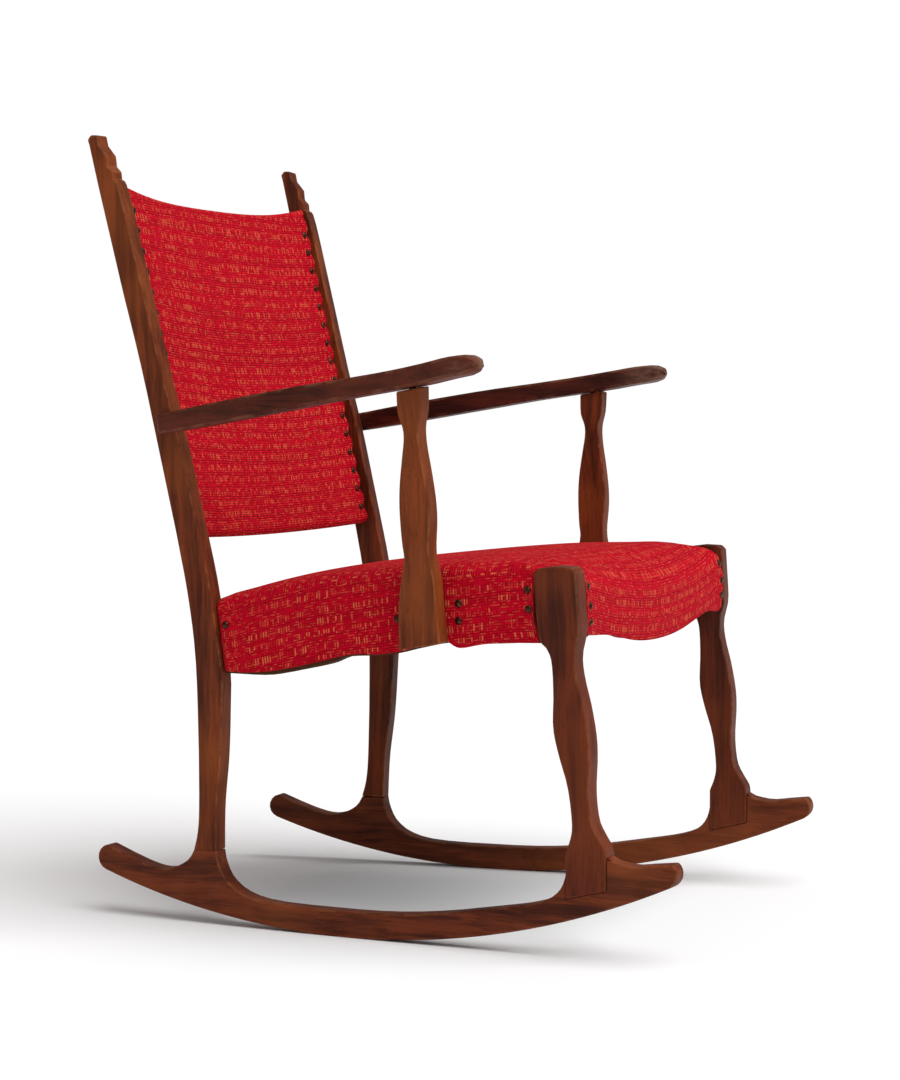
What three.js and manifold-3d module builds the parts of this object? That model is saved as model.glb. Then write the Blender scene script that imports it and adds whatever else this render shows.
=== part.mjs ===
// Rocking chair with an open wooden frame and a nailed wool cover on its seat and back.
// Millimetres. +Z is up, the sitter faces -Y, and the runners touch the floor at z = 0. The outlines
// are drawn with y = 0 near the chair's balance point, and the whole is then centred on the origin.

import * as THREE from 'three';
import { mergeVertices } from 'three/addons/utils/BufferGeometryUtils.js';
import Module from 'manifold-3d';

const wasm = await Module();
wasm.setup();

// ---------------------------------------------------------------- driving dimensions
const GAP = 0.3; // clearance left in every joint
const HALF_WIDTH = 265.6; // middle plane to the outer face of a runner, at y = 0
const TOE = 0.06; // the runners close up towards the rear, in radians
const BOARD = 23; // thickness of runners, rear posts, arm posts
const LEG = 27; // thickness of a front leg
const RAIL = 21; // thickness of the seat rails

const RUNNER_RADIUS = 1000; // rolling radius of the runners
const RUNNER_CENTRE_Y = 2.5; // where the runners touch the floor, below the chair's balance point
const FLOOR_FLAT = 30; // length of the flat on each runner where it rests
const RUNNER_TIP = 16; // radius of the rounded ends of a runner
const REAR_JOINT_Z = 90; // height of the joint between runner and rear post
const FOOT_SLOT_Z = 118; // height of the runner inside the fork of the front leg
const FORK_TONGUE = 9; // thickness of runner left inside that fork

const CENTRE_Y = -38.6; // middle of the chair's length, where the origin lies

const POST_LEAN = 0.031; // outward lean of the rear posts
const LEG_LEAN = 0.0136; // outward lean of the front legs
const ARM_POST_LEAN = 0.06; // outward lean of the arm posts
const LEG_PROUD = 2; // front leg beyond the runner's outer face
const ARM_POST_PROUD = 27; // arm post's outer face beyond the runner's, at its foot

const SEAT_FRONT_Y = -303; // front face of the seat cover
const SEAT_REAR_Y = 199; // rear face of the seat cover
const COVER = 2.4; // thickness of the cloth with its lining
const DECK_Z = 385.7; // top of the seat rails at y = 0
const DECK_SLOPE = -0.0933; // rise of the rails per millimetre of y
const STRAP = 2; // thickness of the webbing
const STRAP_WIDTH = 50;
const LINING_DROP = 42; // from the top of the rails down to the lining under the seat
const LINING = 1.5; // thickness of that lining

const BACK_FOOT = [198, 469]; // y and z of the lower front edge of the back panel
const BACK_RAKE = Math.atan(0.243); // the back leans towards the rear
const BACK_HEIGHT = 427; // panel height along its rake, in the middle
const BACK_EARS = 14.5; // rise of the panel's upper corners
const BACK_HALF_LOW = 242.4; // half width of the panel at its foot
const BACK_HALF_HIGH = 249.4; // half width of the panel at its top
const BACK_HOLLOW = 10; // depth of the panel's hollow for the sitter's back

const TENON = [10, 18]; // faces of a side rail's tenons, inwards from the runner's outer face
const DOWEL_RADIUS = 4;
const POST_DOWEL_Y = 189; // dowel between runner and rear post
const ARM_REAR_DOWEL = [226, 606]; // y and z of the dowel between arm and rear post
const ARM_FRONT_DOWEL_Y = -110; // dowel between arm and arm post
const ARM_POST_MIDDLE = 32; // middle of an arm post's top, from the runner's outer face
const ARM_SCREWS = [[-108, 366], [-122, 392]]; // y and z of the screws that hold an arm post
const SCREW_RADIUS = 2;
const SCREW_LENGTH = 36;
const SCREW_SINK_RADIUS = 4.6;
const ROUND_SIDES = 12;

// ---------------------------------------------------------------- materials
const finish = (color, roughness) => new THREE.MeshStandardMaterial({ color, roughness, metalness: 0 });
const wood = () => finish(0x6b3a1e, 0.5);
const rawWood = () => finish(0xb08a5c, 0.8);
const cloth = () => finish(0xc01830, 0.95);
const foam = () => finish(0xe2d6a8, 0.95);
const webbing = () => finish(0x9a8560, 0.9);
const lining = () => finish(0x2a2624, 0.95);
const steel = () => new THREE.MeshStandardMaterial({ color: 0x8a8a86, roughness: 0.4, metalness: 0.9 });

// ---------------------------------------------------------------- solids
function toSolid(geometry) {
  const bare = geometry.clone();
  bare.deleteAttribute('normal');
  bare.deleteAttribute('uv');
  const merged = mergeVertices(bare, 1e-4);
  const vertProperties = new Float32Array(merged.attributes.position.array);
  const triVerts = new Uint32Array(merged.index.array);
  return new wasm.Manifold(new wasm.Mesh({ numProp: 3, vertProperties, triVerts }));
}

function toGeometry(solid) {
  const mesh = solid.getMesh();
  const geometry = new THREE.BufferGeometry();
  geometry.setAttribute('position', new THREE.BufferAttribute(new Float32Array(mesh.vertProperties), 3));
  geometry.setIndex(new THREE.BufferAttribute(new Uint32Array(mesh.triVerts), 1));
  geometry.computeVertexNormals();
  return geometry;
}

const cut = (body, ...tools) =>
  toGeometry(tools.reduce((solid, tool) => solid.subtract(toSolid(tool)), toSolid(body)));
const join = (body, ...extras) =>
  toGeometry(extras.reduce((solid, extra) => solid.add(toSolid(extra)), toSolid(body)));
const common = (a, b) => toGeometry(toSolid(a).intersect(toSolid(b)));

// ---------------------------------------------------------------- shapes
const curve = (controls, steps) => new THREE.SplineCurve(controls.map(([a, b]) => new THREE.Vector2(a, b)))
  .getPoints(steps);
const corners = (points) => points.map(([a, b]) => new THREE.Vector2(a, b));
const outline = (...edges) => new THREE.Shape(edges.flat());
const arc = (a, b, radius, from, to, steps) =>
  Array.from({ length: steps + 1 }, (_, i) => from + ((to - from) * i) / steps)
    .map((turn) => new THREE.Vector2(a + radius * Math.cos(turn), b + radius * Math.sin(turn)));

function alongX(shape, from, to) {
  const geometry = new THREE.ExtrudeGeometry(shape, { depth: Math.abs(to - from), bevelEnabled: false });
  geometry.applyMatrix4(new THREE.Matrix4().set(0, 0, 1, 0, 1, 0, 0, 0, 0, 1, 0, 0, 0, 0, 0, 1));
  return geometry.translate(Math.min(from, to), 0, 0);
}

function alongY(shape, from, to) {
  const geometry = new THREE.ExtrudeGeometry(shape, { depth: to - from, bevelEnabled: false });
  return geometry.rotateX(Math.PI / 2).translate(0, to, 0);
}

function alongZ(shape, from, to) {
  const geometry = new THREE.ExtrudeGeometry(shape, { depth: to - from, bevelEnabled: false });
  return geometry.translate(0, 0, from);
}

function block(x, y, z) {
  const geometry = new THREE.BoxGeometry(Math.abs(x[1] - x[0]), y[1] - y[0], z[1] - z[0]);
  return geometry.translate((x[0] + x[1]) / 2, (y[0] + y[1]) / 2, (z[0] + z[1]) / 2);
}

function roundBar(radius, length) {
  return new THREE.CylinderGeometry(radius, radius, length, ROUND_SIDES);
}

function lean(geometry, angle, z) {
  return geometry.translate(0, 0, -z).rotateY(angle).translate(0, 0, z);
}

// ---------------------------------------------------------------- scene graph
const chair = new THREE.Group();
chair.name = 'rocking_chair';
chair.position.y = -CENTRE_Y;

function add(parent, name, geometry, material) {
  const mesh = new THREE.Mesh(geometry, material);
  mesh.name = name;
  parent.add(mesh);
}

// Each side of the chair is drawn in its own upright plane: x is measured from the outer face
// of the runner, outwards on that side, and the whole side is then turned by the toe angle.
function sideFrame(sign) {
  const group = new THREE.Group();
  group.position.x = sign * HALF_WIDTH;
  group.rotation.z = sign * TOE;
  chair.add(group);
  return group;
}

// ---------------------------------------------------------------- curves that several pieces share
const deckZ = (y) => DECK_Z + DECK_SLOPE * y;
const planeX = (y) => HALF_WIDTH - TOE * y;

const APRON_BOTTOM = [[160, 309], [100, 310.5], [60, 318], [20, 326], [-8, 334], [-60, 337], [-95, 345],
  [-140, 354], [-158, 348.5], [-180, 352], [-256, 357]];
const SIDE_RAIL_BOTTOM = [[159.5, 306], [100, 306], [60, 313], [20, 322], [-8, 332], [-60, 336], [-95, 344],
  [-140, 353], [-180, 353], [-254.8, 357.5]];
const FRONT_APRON_BOTTOM = [[-262, 360], [-228, 366], [-195, 370], [-150, 361], [-90, 348], [0, 342.5],
  [90, 348], [150, 361], [195, 370], [228, 366], [262, 360]];
const SEAT_TOP = [[199, 391], [168, 399], [116, 412], [49, 424], [-37, 433], [-107, 441], [-190, 445],
  [-245, 443], [-278, 438], [-294, 429], [SEAT_FRONT_Y, 414]];
const ARM_UNDERSIDE = [[236, 592], [200, 597], [154, 604], [90, 615], [26, 625.5], [-40, 636], [-89, 643],
  [-126, 648.5], [-160, 655], [-186, 659]];

// ---------------------------------------------------------------- runner
function runner(sign) {
  const z0 = Math.sqrt(RUNNER_RADIUS ** 2 - (FLOOR_FLAT / 2) ** 2);
  const flatAngle = Math.asin(FLOOR_FLAT / 2 / RUNNER_RADIUS);
  const tipAngle = (y) => -Math.acos((y - RUNNER_CENTRE_Y) / (RUNNER_RADIUS - RUNNER_TIP));
  const rear = tipAngle(328);
  const front = tipAngle(-404);
  const tip = (angle) => [
    RUNNER_CENTRE_Y + (z0 - RUNNER_TIP) * Math.cos(angle),
    z0 + (z0 - RUNNER_TIP) * Math.sin(angle),
  ];
  const shape = outline(
    arc(RUNNER_CENTRE_Y, z0, RUNNER_RADIUS, front, -Math.PI / 2 - flatAngle, 25),
    arc(RUNNER_CENTRE_Y, z0, RUNNER_RADIUS, -Math.PI / 2 + flatAngle, rear, 19),
    arc(...tip(rear), RUNNER_TIP, rear, rear + Math.PI * 0.84, 7).slice(1),
    curve([[302, 76.5], [276, 68], [252, 63.5], [232, 67], [214, 77], [205.5, REAR_JOINT_Z]], 14),
    curve([[174, REAR_JOINT_Z], [171, 76], [161, 57], [139, 41.5], [100, 33], [20, 31], [-60, 32.5],
      [-130, 39.5], [-200, 51], [-240, 58.5], [-264, 66.5], [-278, 78], [-285, 95], [-287, FOOT_SLOT_Z]], 34),
    corners([[-336.4, FOOT_SLOT_Z]]),
    curve([[-344, 114], [-366, 110.5], [-388, 113]], 5),
    arc(...tip(front), RUNNER_TIP, front + Math.PI * 1.36, front + Math.PI * 2, 8).slice(0, -1),
  );
  const depth = (BOARD - FORK_TONGUE) / 2;
  const cheek = outline(corners([[-336.4, 80.3], [-285.6, 67.4], [-285.6, 125], [-336.4, 125]]));
  const housings = [
    alongX(cheek, sign * 5, sign * -depth),
    alongX(cheek, sign * (depth - BOARD), sign * (-BOARD - 5)),
  ];
  const dowelBore = roundBar(DOWEL_RADIUS + GAP, 27).rotateX(Math.PI / 2)
    .translate((-sign * BOARD) / 2, POST_DOWEL_Y, REAR_JOINT_Z - 12);
  return cut(alongX(shape, 0, -sign * BOARD), ...housings, dowelBore);
}

// ---------------------------------------------------------------- rear post
const POST_REAR_EDGE = [[205.4, REAR_JOINT_Z + GAP], [199.5, 114], [197, 150], [196, 230], [197.5, 320],
  [205, 390], [218.5, 463], [241, 567], [266, 678], [292, 778], [318.5, 886], [331, 940]];
const POST_FRONT_EDGE = [[298.5, 899], [290, 886], [264, 783], [239, 680], [216, 593], [187.5, 469],
  [174, 403], [161.5, 310], [161.5, 270], [165, 205], [172, 145], [174.2, REAR_JOINT_Z + GAP]];
const FINIAL = [[333.5, 948], [329, 953.5], [320, 953], [317.5, 941], [307, 928], [305.5, 915], [299.5, 909]];

function tenonFaces(sign, clearance) {
  return [-sign * (TENON[0] - clearance), -sign * (TENON[1] + clearance)];
}

function rearPost(sign) {
  const shape = outline(curve(POST_REAR_EDGE, 36), corners(FINIAL), curve(POST_FRONT_EDGE, 40));
  const body = lean(alongX(shape, 0, -sign * BOARD), sign * POST_LEAN, REAR_JOINT_Z);
  const middle = (-sign * BOARD) / 2;
  const dowelBore = roundBar(DOWEL_RADIUS + GAP, 30).rotateX(Math.PI / 2)
    .translate(middle, POST_DOWEL_Y, REAR_JOINT_Z + 9);
  const railMortise = block(tenonFaces(sign, GAP), [150, 180.5], [319 - GAP, 357 + GAP]);
  const armBore = roundBar(DOWEL_RADIUS + GAP, 28).rotateZ(Math.PI / 2)
    .translate(sign * 13.5, ...ARM_REAR_DOWEL);
  return cut(body, dowelBore, railMortise, armBore);
}

// ---------------------------------------------------------------- front leg
const LEG_REAR_EDGE = [[-286, 121], [-292, 137], [-294, 155], [-289, 195], [-278, 232],
  [-271.5, 262], [-272, 300], [-270, 336], [-264, 351], [-256, 360], [-251.5, 388], [-248.5, 436]];
const LEG_FRONT_EDGE = [[-300.5, 438], [-303, 400], [-304, 370], [-298.5, 343], [-301, 318], [-309, 286],
  [-315, 252], [-316, 225], [-314.5, 190], [-318, 158], [-326, 141], [-334, 128], [-335.5, 118]];

function frontLeg(sign) {
  const shape = outline(
    curve(LEG_REAR_EDGE, 34), corners([[-253, 441.5], [-275, 444.3], [-295, 443.4]]),
    curve(LEG_FRONT_EDGE, 34), corners([[-335.5, 80.6], [-286, 68]]),
  );
  const outer = sign * LEG_PROUD;
  const body = lean(alongX(shape, outer, outer - sign * LEG), sign * LEG_LEAN, 100);
  const side = (BOARD - FORK_TONGUE) / 2 - GAP;
  const fork = block([-sign * side, -sign * (BOARD - side)], [-345, -270], [60, FOOT_SLOT_Z + GAP]);
  const sideMortise = block(tenonFaces(sign, GAP), [-270, -240], [362 - GAP, 400 + GAP]);
  const frontMortise = block([-sign * 9, -sign * 40], [-293.6, -280.4], [372.7, 402.3]);
  return cut(body, fork, sideMortise, frontMortise);
}

// ---------------------------------------------------------------- arm post
const ARM_POST_FOOT = [[-88, 346], [-141, 355]];
const ARM_POST_REAR_EDGE = [[-94.5, 643], [-95.5, 618], [-101, 602], [-102, 588], [-99, 566], [-95, 535],
  [-94, 505], [-96, 470], [-98, 452], [-94, 430], [-89, 395], [-88, 346]];
const ARM_POST_FRONT_EDGE = [[-141, 355], [-137.5, 400], [-135.5, 430], [-131, 450], [-130, 466], [-132, 495],
  [-131, 520], [-127, 550], [-122, 580], [-121, 602], [-125, 622], [-126, 648.3]];

function armPost(sign) {
  const shape = outline(curve(ARM_POST_REAR_EDGE, 32), curve(ARM_POST_FRONT_EDGE, 32));
  const outer = sign * ARM_POST_PROUD;
  const body = lean(alongX(shape, outer, outer - sign * BOARD), sign * ARM_POST_LEAN, 355);
  const bores = ARM_SCREWS.map(([y, z]) => roundBar(SCREW_RADIUS + GAP, 26).rotateZ(Math.PI / 2)
    .translate(sign * 5, y, z));
  const dowelBore = roundBar(DOWEL_RADIUS + GAP, 30).rotateX(Math.PI / 2)
    .translate(sign * ARM_POST_MIDDLE, ARM_FRONT_DOWEL_Y, 640);
  return cut(body, ...bores, dowelBore);
}

// ---------------------------------------------------------------- armrest, in the chair's own frame
const ARM_TOP = [[-188, 681.5], [-165, 679], [-135, 673.5], [-86, 665.5], [-37, 658.5], [25, 650.5],
  [89, 641], [153, 630.5], [200, 622.5], [239, 616]];
const ARM_OUTER_EDGE = [[280, 240], [287, 200], [297, 100], [306, 15], [315, -65], [327, -115], [340, -148],
  [347, -176], [343, -196]];
const ARM_INNER_EDGE = [[314, -196], [304, -178], [295, -150], [287, -110], [279, -50], [271, 30],
  [266.5, 110], [266, 180], [269.7, 212]];

function armrest(sign) {
  const profile = outline(
    curve(ARM_UNDERSIDE, 20), corners([[-198, 663], [-204, 669], [-202, 677]]), curve(ARM_TOP, 20),
  );
  const plan = mirrored(sign, [
    ...curve(ARM_OUTER_EDGE, 18), ...corners([[334, -204], [323, -203]]), ...curve(ARM_INNER_EDGE, 18),
    ...corners([[268.6, 240]]),
  ]);
  const body = common(alongX(profile, sign * 240, sign * 355), alongZ(plan, 560, 720));
  const rearBore = roundBar(DOWEL_RADIUS + GAP, 20).rotateZ(Math.PI / 2).rotateZ(sign * TOE)
    .translate(...onSide(sign, 20, ...ARM_REAR_DOWEL));
  const frontBore = roundBar(DOWEL_RADIUS + GAP, 26).rotateX(Math.PI / 2)
    .translate(...onSide(sign, ARM_POST_MIDDLE, ARM_FRONT_DOWEL_Y, 648));
  return cut(body, rearBore, frontBore);
}

// A plan drawn for the left side, mirrored for the right.
function mirrored(sign, points) {
  return outline(points.map((point) => new THREE.Vector2(sign * point.x, point.y)));
}

// A point of a side's own plane, in the chair's frame.
function onSide(sign, out, y, z) {
  const across = sign * (HALF_WIDTH + out * Math.cos(TOE) - y * Math.sin(TOE));
  return [across, out * Math.sin(TOE) + y * Math.cos(TOE), z];
}

// ---------------------------------------------------------------- seat rails
const SIDE_RAIL_OUT = -1; // outer face of a side rail, from the runner's outer face

function sideRail(sign) {
  const top = (y) => [y, deckZ(y) - GAP];
  const shape = outline(
    curve(SIDE_RAIL_BOTTOM, 40), corners([top(-248), top(166.8)]),
  );
  const inner = SIDE_RAIL_OUT - RAIL;
  const body = alongX(shape, sign * SIDE_RAIL_OUT, sign * inner);
  const rearTenon = block(tenonFaces(sign, 0), [140, 179], [319, 357]);
  const frontTenon = block(tenonFaces(sign, 0), [-262, -225], [362, 400]);
  const bores = ARM_SCREWS.map(([y, z]) => roundBar(SCREW_RADIUS + GAP, 30).rotateZ(Math.PI / 2)
    .translate(sign * -12, y, z));
  const sinks = ARM_SCREWS.map(([y, z]) => roundBar(SCREW_SINK_RADIUS, 8).rotateZ(Math.PI / 2)
    .translate(sign * (inner - 1), y, z));
  return cut(join(body, rearTenon, frontTenon), ...bores, ...sinks);
}

// A plan whose half width follows a function of y, between two values of y.
function tapered(half, front, rear) {
  return outline(corners([
    [-half(front), front], [half(front), front], [half(rear), rear], [-half(rear), rear],
  ]));
}

function frontRail() {
  const half = (y) => planeX(y) - 22.2;
  const face = outline(
    curve(FRONT_APRON_BOTTOM.map(([x, z]) => [x * 0.985, z + 1]), 44),
    corners([[258, 409], [-258, 409]]),
  );
  const plan = tapered(half, -299, -278);
  const body = common(alongY(face, -305, -270), alongZ(plan, 330, 430));
  const tenon = block([-270, 270], [-292, -282], [373, 402]);
  return join(body, tenon);
}

function rearRail() {
  return block([-236.3, 236.3], [176, 196], [318, deckZ(196) - GAP]);
}

// ---------------------------------------------------------------- glue blocks in the seat's corners
const CORNERS = [
  { name: 'front', points: [[256.3, -277.6], [196, -277.6], [254.8, -214]], z: [373, 403] },
  { name: 'rear', points: [[231.2, 175.6], [234.2, 116], [172, 175.6]], z: [336, 364] },
];

function cornerBlock(sign, { points, z }) {
  return alongZ(mirrored(sign, corners(points)), ...z);
}

// ---------------------------------------------------------------- fasteners
// A countersunk wood screw that points along +Y from its head at y = 0.
function woodScrew(length) {
  const profile = corners([
    [0, 0], [4, 0], [4, 0.8], [SCREW_RADIUS, 3], [SCREW_RADIUS, length - 6], [0, length],
  ]);
  return new THREE.LatheGeometry(profile, ROUND_SIDES);
}

// ---------------------------------------------------------------- seat upholstery
// The rise of the seat towards its front, shifted down by a depth below the cloth.
function seatProfile(depth, floor, rear) {
  const top = curve(SEAT_TOP, 36).filter((p) => p.y > floor + depth)
    .map((p) => new THREE.Vector2(Math.min(Math.max(p.x, SEAT_FRONT_Y + depth), rear), p.y - depth));
  const front = SEAT_FRONT_Y + depth;
  return outline(corners([[front, floor], [rear, floor]]), dropRepeats(top));
}

function dropRepeats(points) {
  return points.filter((p, i) => i === 0 || p.distanceTo(points[i - 1]) > 0.5);
}

// The seat's footprint: notched for the front legs and narrow between the rear posts.
function seatPlan(inset) {
  const side = (y) => planeX(y) + 2.4 - inset;
  const betweenLegs = (y) => planeX(y) - 22.2 - inset;
  const betweenPosts = 236 - inset;
  const front = SEAT_FRONT_Y + inset;
  const rear = SEAT_REAR_Y - inset;
  const left = [[betweenLegs(front), front], [betweenLegs(-247 + inset), -247 + inset],
    [side(-247 + inset), -247 + inset], [side(159 - inset), 159 - inset],
    [betweenPosts, 159 - inset], [betweenPosts, rear]];
  const right = left.map(([x, y]) => [-x, y]).reverse();
  return outline(corners([...left, ...right]));
}

function seatCover() {
  const outer = common(
    alongX(seatProfile(0, 300, SEAT_REAR_Y), -300, 300), alongZ(seatPlan(0), 290, 460),
  );
  const half = (y) => planeX(y) + 2.4 - COVER;
  const inner = common(
    alongX(seatProfile(COVER, 280, SEAT_REAR_Y - COVER), -300, 300),
    alongZ(tapered(half, -310, 210), 270, 450),
  );
  const belowSides = alongX(
    outline(curve(APRON_BOTTOM, 44), corners([[-256, 290], [160, 290]])), -320, 320,
  );
  const belowFront = alongY(
    outline(curve(FRONT_APRON_BOTTOM, 44), corners([[262, 250], [-262, 250]])), -320, -250,
  );
  const belowRear = block([-250, 250], [150, 210], [280, 316]);
  const screwHoles = [1, -1].flatMap((sign) => ARM_SCREWS.map(([y, z]) =>
    roundBar(SCREW_RADIUS + 1, 30).rotateZ(Math.PI / 2).translate(...onSide(sign, 0, y, z))));
  return cut(outer, inner, belowSides, belowFront, belowRear, ...screwHoles);
}

function seatPad() {
  const drop = COVER + GAP;
  const profile = seatProfile(drop, 300, SEAT_REAR_Y - drop);
  const low = (y) => deckZ(y) + 2 * STRAP + 3 * GAP;
  const above = outline(corners([[-310, low(-310)], [210, low(210)], [210, 470], [-310, 470]]));
  const body = common(alongX(profile, -300, 300), alongZ(seatPlan(drop), 290, 450));
  return common(body, alongX(above, -300, 300));
}

function strapAlong(x) {
  const low = (y) => deckZ(y) + GAP;
  const shape = outline(corners([
    [-298, low(-298)], [194, low(194)], [194, low(194) + STRAP], [-298, low(-298) + STRAP],
  ]));
  return alongX(shape, x - STRAP_WIDTH / 2, x + STRAP_WIDTH / 2);
}

function strapAcross(y) {
  const low = (at) => deckZ(at) + STRAP + 2 * GAP;
  const from = y - STRAP_WIDTH / 2;
  const to = y + STRAP_WIDTH / 2;
  const shape = outline(corners([
    [from, low(from)], [to, low(to)], [to, low(to) + STRAP], [from, low(from) + STRAP],
  ]));
  const half = planeX(y) - 6;
  return alongX(shape, -half, half);
}

function seatLining() {
  const low = (y) => deckZ(y) - LINING_DROP;
  const half = (y) => planeX(y) - RAIL - 2;
  const [front, rear] = [-277, 175];
  const slice = outline(corners([
    [front, low(front)], [rear, low(rear)], [rear, low(rear) + LINING], [front, low(front) + LINING],
  ]));
  return common(alongX(slice, -300, 300), alongZ(tapered(half, front, rear), 300, 400));
}

// ---------------------------------------------------------------- back upholstery, in its own frame
// x is across, y is the depth behind the front of the posts, z runs up along the rake.
const backHalf = (h) => BACK_HALF_LOW + ((BACK_HALF_HIGH - BACK_HALF_LOW) * h) / BACK_HEIGHT;
const hollow = (x) => BACK_HOLLOW * (1 - (x / BACK_HALF_HIGH) ** 2);

function backFace(inset) {
  const top = Array.from({ length: 25 }, (_, i) => (1 - i / 12) * (BACK_HALF_HIGH - inset))
    .map((x) => [x, BACK_HEIGHT - inset + BACK_EARS * (x / BACK_HALF_HIGH) ** 4]);
  return outline(corners([[-BACK_HALF_LOW + inset, inset], [BACK_HALF_LOW - inset, inset], ...top]));
}

function hollowStrip(from, to) {
  const xs = Array.from({ length: 17 }, (_, i) => (i / 8 - 1) * 252);
  const near = xs.map((x) => [x, hollow(x) + from]);
  const far = xs.map((x) => [x, hollow(x) + to]).reverse();
  return outline(corners([...near, ...far]));
}

const backLayer = (from, to, inset) =>
  common(alongY(backFace(inset), -20, 60), alongZ(hollowStrip(from, to), -20, 480));

function backRail(low, high) {
  const half = (h) => backHalf(h) - 2.1;
  return common(alongY(tapered(half, low, high), -20, 60), alongZ(hollowStrip(11.4, 22.4), -20, 480));
}

function backStrap(x) {
  const plan = hollowStrip(9.2, 11.1);
  const band = outline(corners([[x - 25, 8], [x + 25, 8], [x + 25, 402], [x - 25, 402]]));
  return common(alongY(band, -20, 60), alongZ(plan, -20, 480));
}

// ---------------------------------------------------------------- assembly
for (const [side, sign] of [['left', 1], ['right', -1]]) {
  const frame = sideFrame(sign);
  add(frame, `rocker_${side}`, runner(sign), wood());
  add(frame, `rear_post_${side}`, rearPost(sign), wood());
  add(frame, `front_leg_${side}`, frontLeg(sign), wood());
  add(frame, `arm_post_${side}`, armPost(sign), wood());
  add(frame, `seat_rail_${side}`, sideRail(sign), rawWood());
  add(chair, `armrest_${side}`, armrest(sign), wood());

  const middle = (-sign * BOARD) / 2;
  const postDowel = roundBar(DOWEL_RADIUS, 44).rotateX(Math.PI / 2)
    .translate(middle, POST_DOWEL_Y, REAR_JOINT_Z);
  add(frame, `rocker_dowel_${side}`, postDowel, rawWood());
  const rearDowel = roundBar(DOWEL_RADIUS, 26).rotateZ(Math.PI / 2).translate(sign * 15, ...ARM_REAR_DOWEL);
  add(frame, `arm_rear_dowel_${side}`, rearDowel, rawWood());
  const frontDowel = roundBar(DOWEL_RADIUS, 30).rotateX(Math.PI / 2)
    .translate(sign * ARM_POST_MIDDLE, ARM_FRONT_DOWEL_Y, 644);
  add(frame, `arm_front_dowel_${side}`, frontDowel, rawWood());

  ARM_SCREWS.forEach(([y, z], i) => {
    const screw = woodScrew(SCREW_LENGTH).rotateZ(-sign * Math.PI / 2).translate(sign * -22, y, z);
    add(frame, `arm_post_screw_${side}_${i + 1}`, screw, steel());
  });
  for (const corner of CORNERS) {
    add(chair, `corner_block_${corner.name}_${side}`, cornerBlock(sign, corner), rawWood());
  }
}

add(chair, 'seat_rail_front', frontRail(), rawWood());
add(chair, 'seat_rail_rear', rearRail(), rawWood());
[-168, -56, 56, 168].forEach((x, i) => add(chair, `seat_strap_long_${i + 1}`, strapAlong(x), webbing()));
[-200, -70, 60].forEach((y, i) => add(chair, `seat_strap_cross_${i + 1}`, strapAcross(y), webbing()));
add(chair, 'seat_pad', seatPad(), foam());
add(chair, 'seat_cover', seatCover(), cloth());
add(chair, 'seat_lining', seatLining(), lining());

const back = new THREE.Group();
back.position.set(0, ...BACK_FOOT);
back.rotation.x = -BACK_RAKE;
chair.add(back);
add(back, 'back_rail_top', backRail(372, 408), rawWood());
add(back, 'back_rail_bottom', backRail(4, 42), rawWood());
[-120, 0, 120].forEach((x, i) => add(back, `back_strap_${i + 1}`, backStrap(x), webbing()));
add(back, 'back_pad', backLayer(-0.3, 8.9, 4), foam());
add(back, 'back_cover_front', backLayer(-3, -0.6, 0), cloth());
add(back, 'back_cover_rear', backLayer(22.8, 24.8, 2.5), cloth());

export default chair;
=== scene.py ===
"""Looks of a rocking chair: softened oiled boards, a nailed wool cover and its dark domed nails.

Lengths inside the classes are in millimetres, in the drawing frame of the chair: x is across, with the
sitter's left positive, y runs to the rear and z is up from the floor. to_metres() carries a point into
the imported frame, which lies centred on the origin.
"""

import logging
import math
from dataclasses import dataclass, field
from enum import Enum
from typing import Sequence

import bmesh
import bpy
import numpy as np
from mathutils import Matrix, Vector
from mathutils.bvhtree import BVHTree


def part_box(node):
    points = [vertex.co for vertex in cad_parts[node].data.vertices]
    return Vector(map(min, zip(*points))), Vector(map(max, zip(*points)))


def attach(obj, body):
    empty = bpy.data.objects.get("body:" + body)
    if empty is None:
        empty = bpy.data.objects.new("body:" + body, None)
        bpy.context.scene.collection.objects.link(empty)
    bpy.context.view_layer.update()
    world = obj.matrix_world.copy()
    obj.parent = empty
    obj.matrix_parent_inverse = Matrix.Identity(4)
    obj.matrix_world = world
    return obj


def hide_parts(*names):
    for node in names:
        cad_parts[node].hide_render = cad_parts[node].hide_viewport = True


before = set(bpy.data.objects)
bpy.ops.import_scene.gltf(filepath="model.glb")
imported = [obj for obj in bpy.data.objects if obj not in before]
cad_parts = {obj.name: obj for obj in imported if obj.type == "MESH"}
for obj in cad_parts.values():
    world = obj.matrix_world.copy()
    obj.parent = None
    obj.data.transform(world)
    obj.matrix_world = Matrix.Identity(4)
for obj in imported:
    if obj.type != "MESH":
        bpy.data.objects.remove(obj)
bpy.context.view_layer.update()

log = logging.getLogger("rocking_chair")

ROOT = "root"
MM = 0.001
SIDES = {"left": 1, "right": -1}
DOUBLES_APART = 0.03
FLAT_WITHIN_DEGREES = 0.6
SEAT_COVER_REAR = 199.0
REAR_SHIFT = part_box("seat_cover")[1][1] / MM - SEAT_COVER_REAR


def to_metres(points: np.ndarray) -> np.ndarray:
    """Drawing-frame millimetres as packed-frame metres.

    Args:
        points: An array whose last axis is x, y, z.

    Returns:
        An array of the same shape.
    """
    return (np.asarray(points, float) + np.array([0.0, REAR_SHIFT, 0.0])) * MM


def smoothstep(low: float, high: float, value: np.ndarray) -> np.ndarray:
    """Rises from 0 at low to 1 at high, with level ends."""
    t = np.clip((np.asarray(value, float) - low) / (high - low), 0.0, 1.0)
    return t * t * (3.0 - 2.0 * t)


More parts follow.
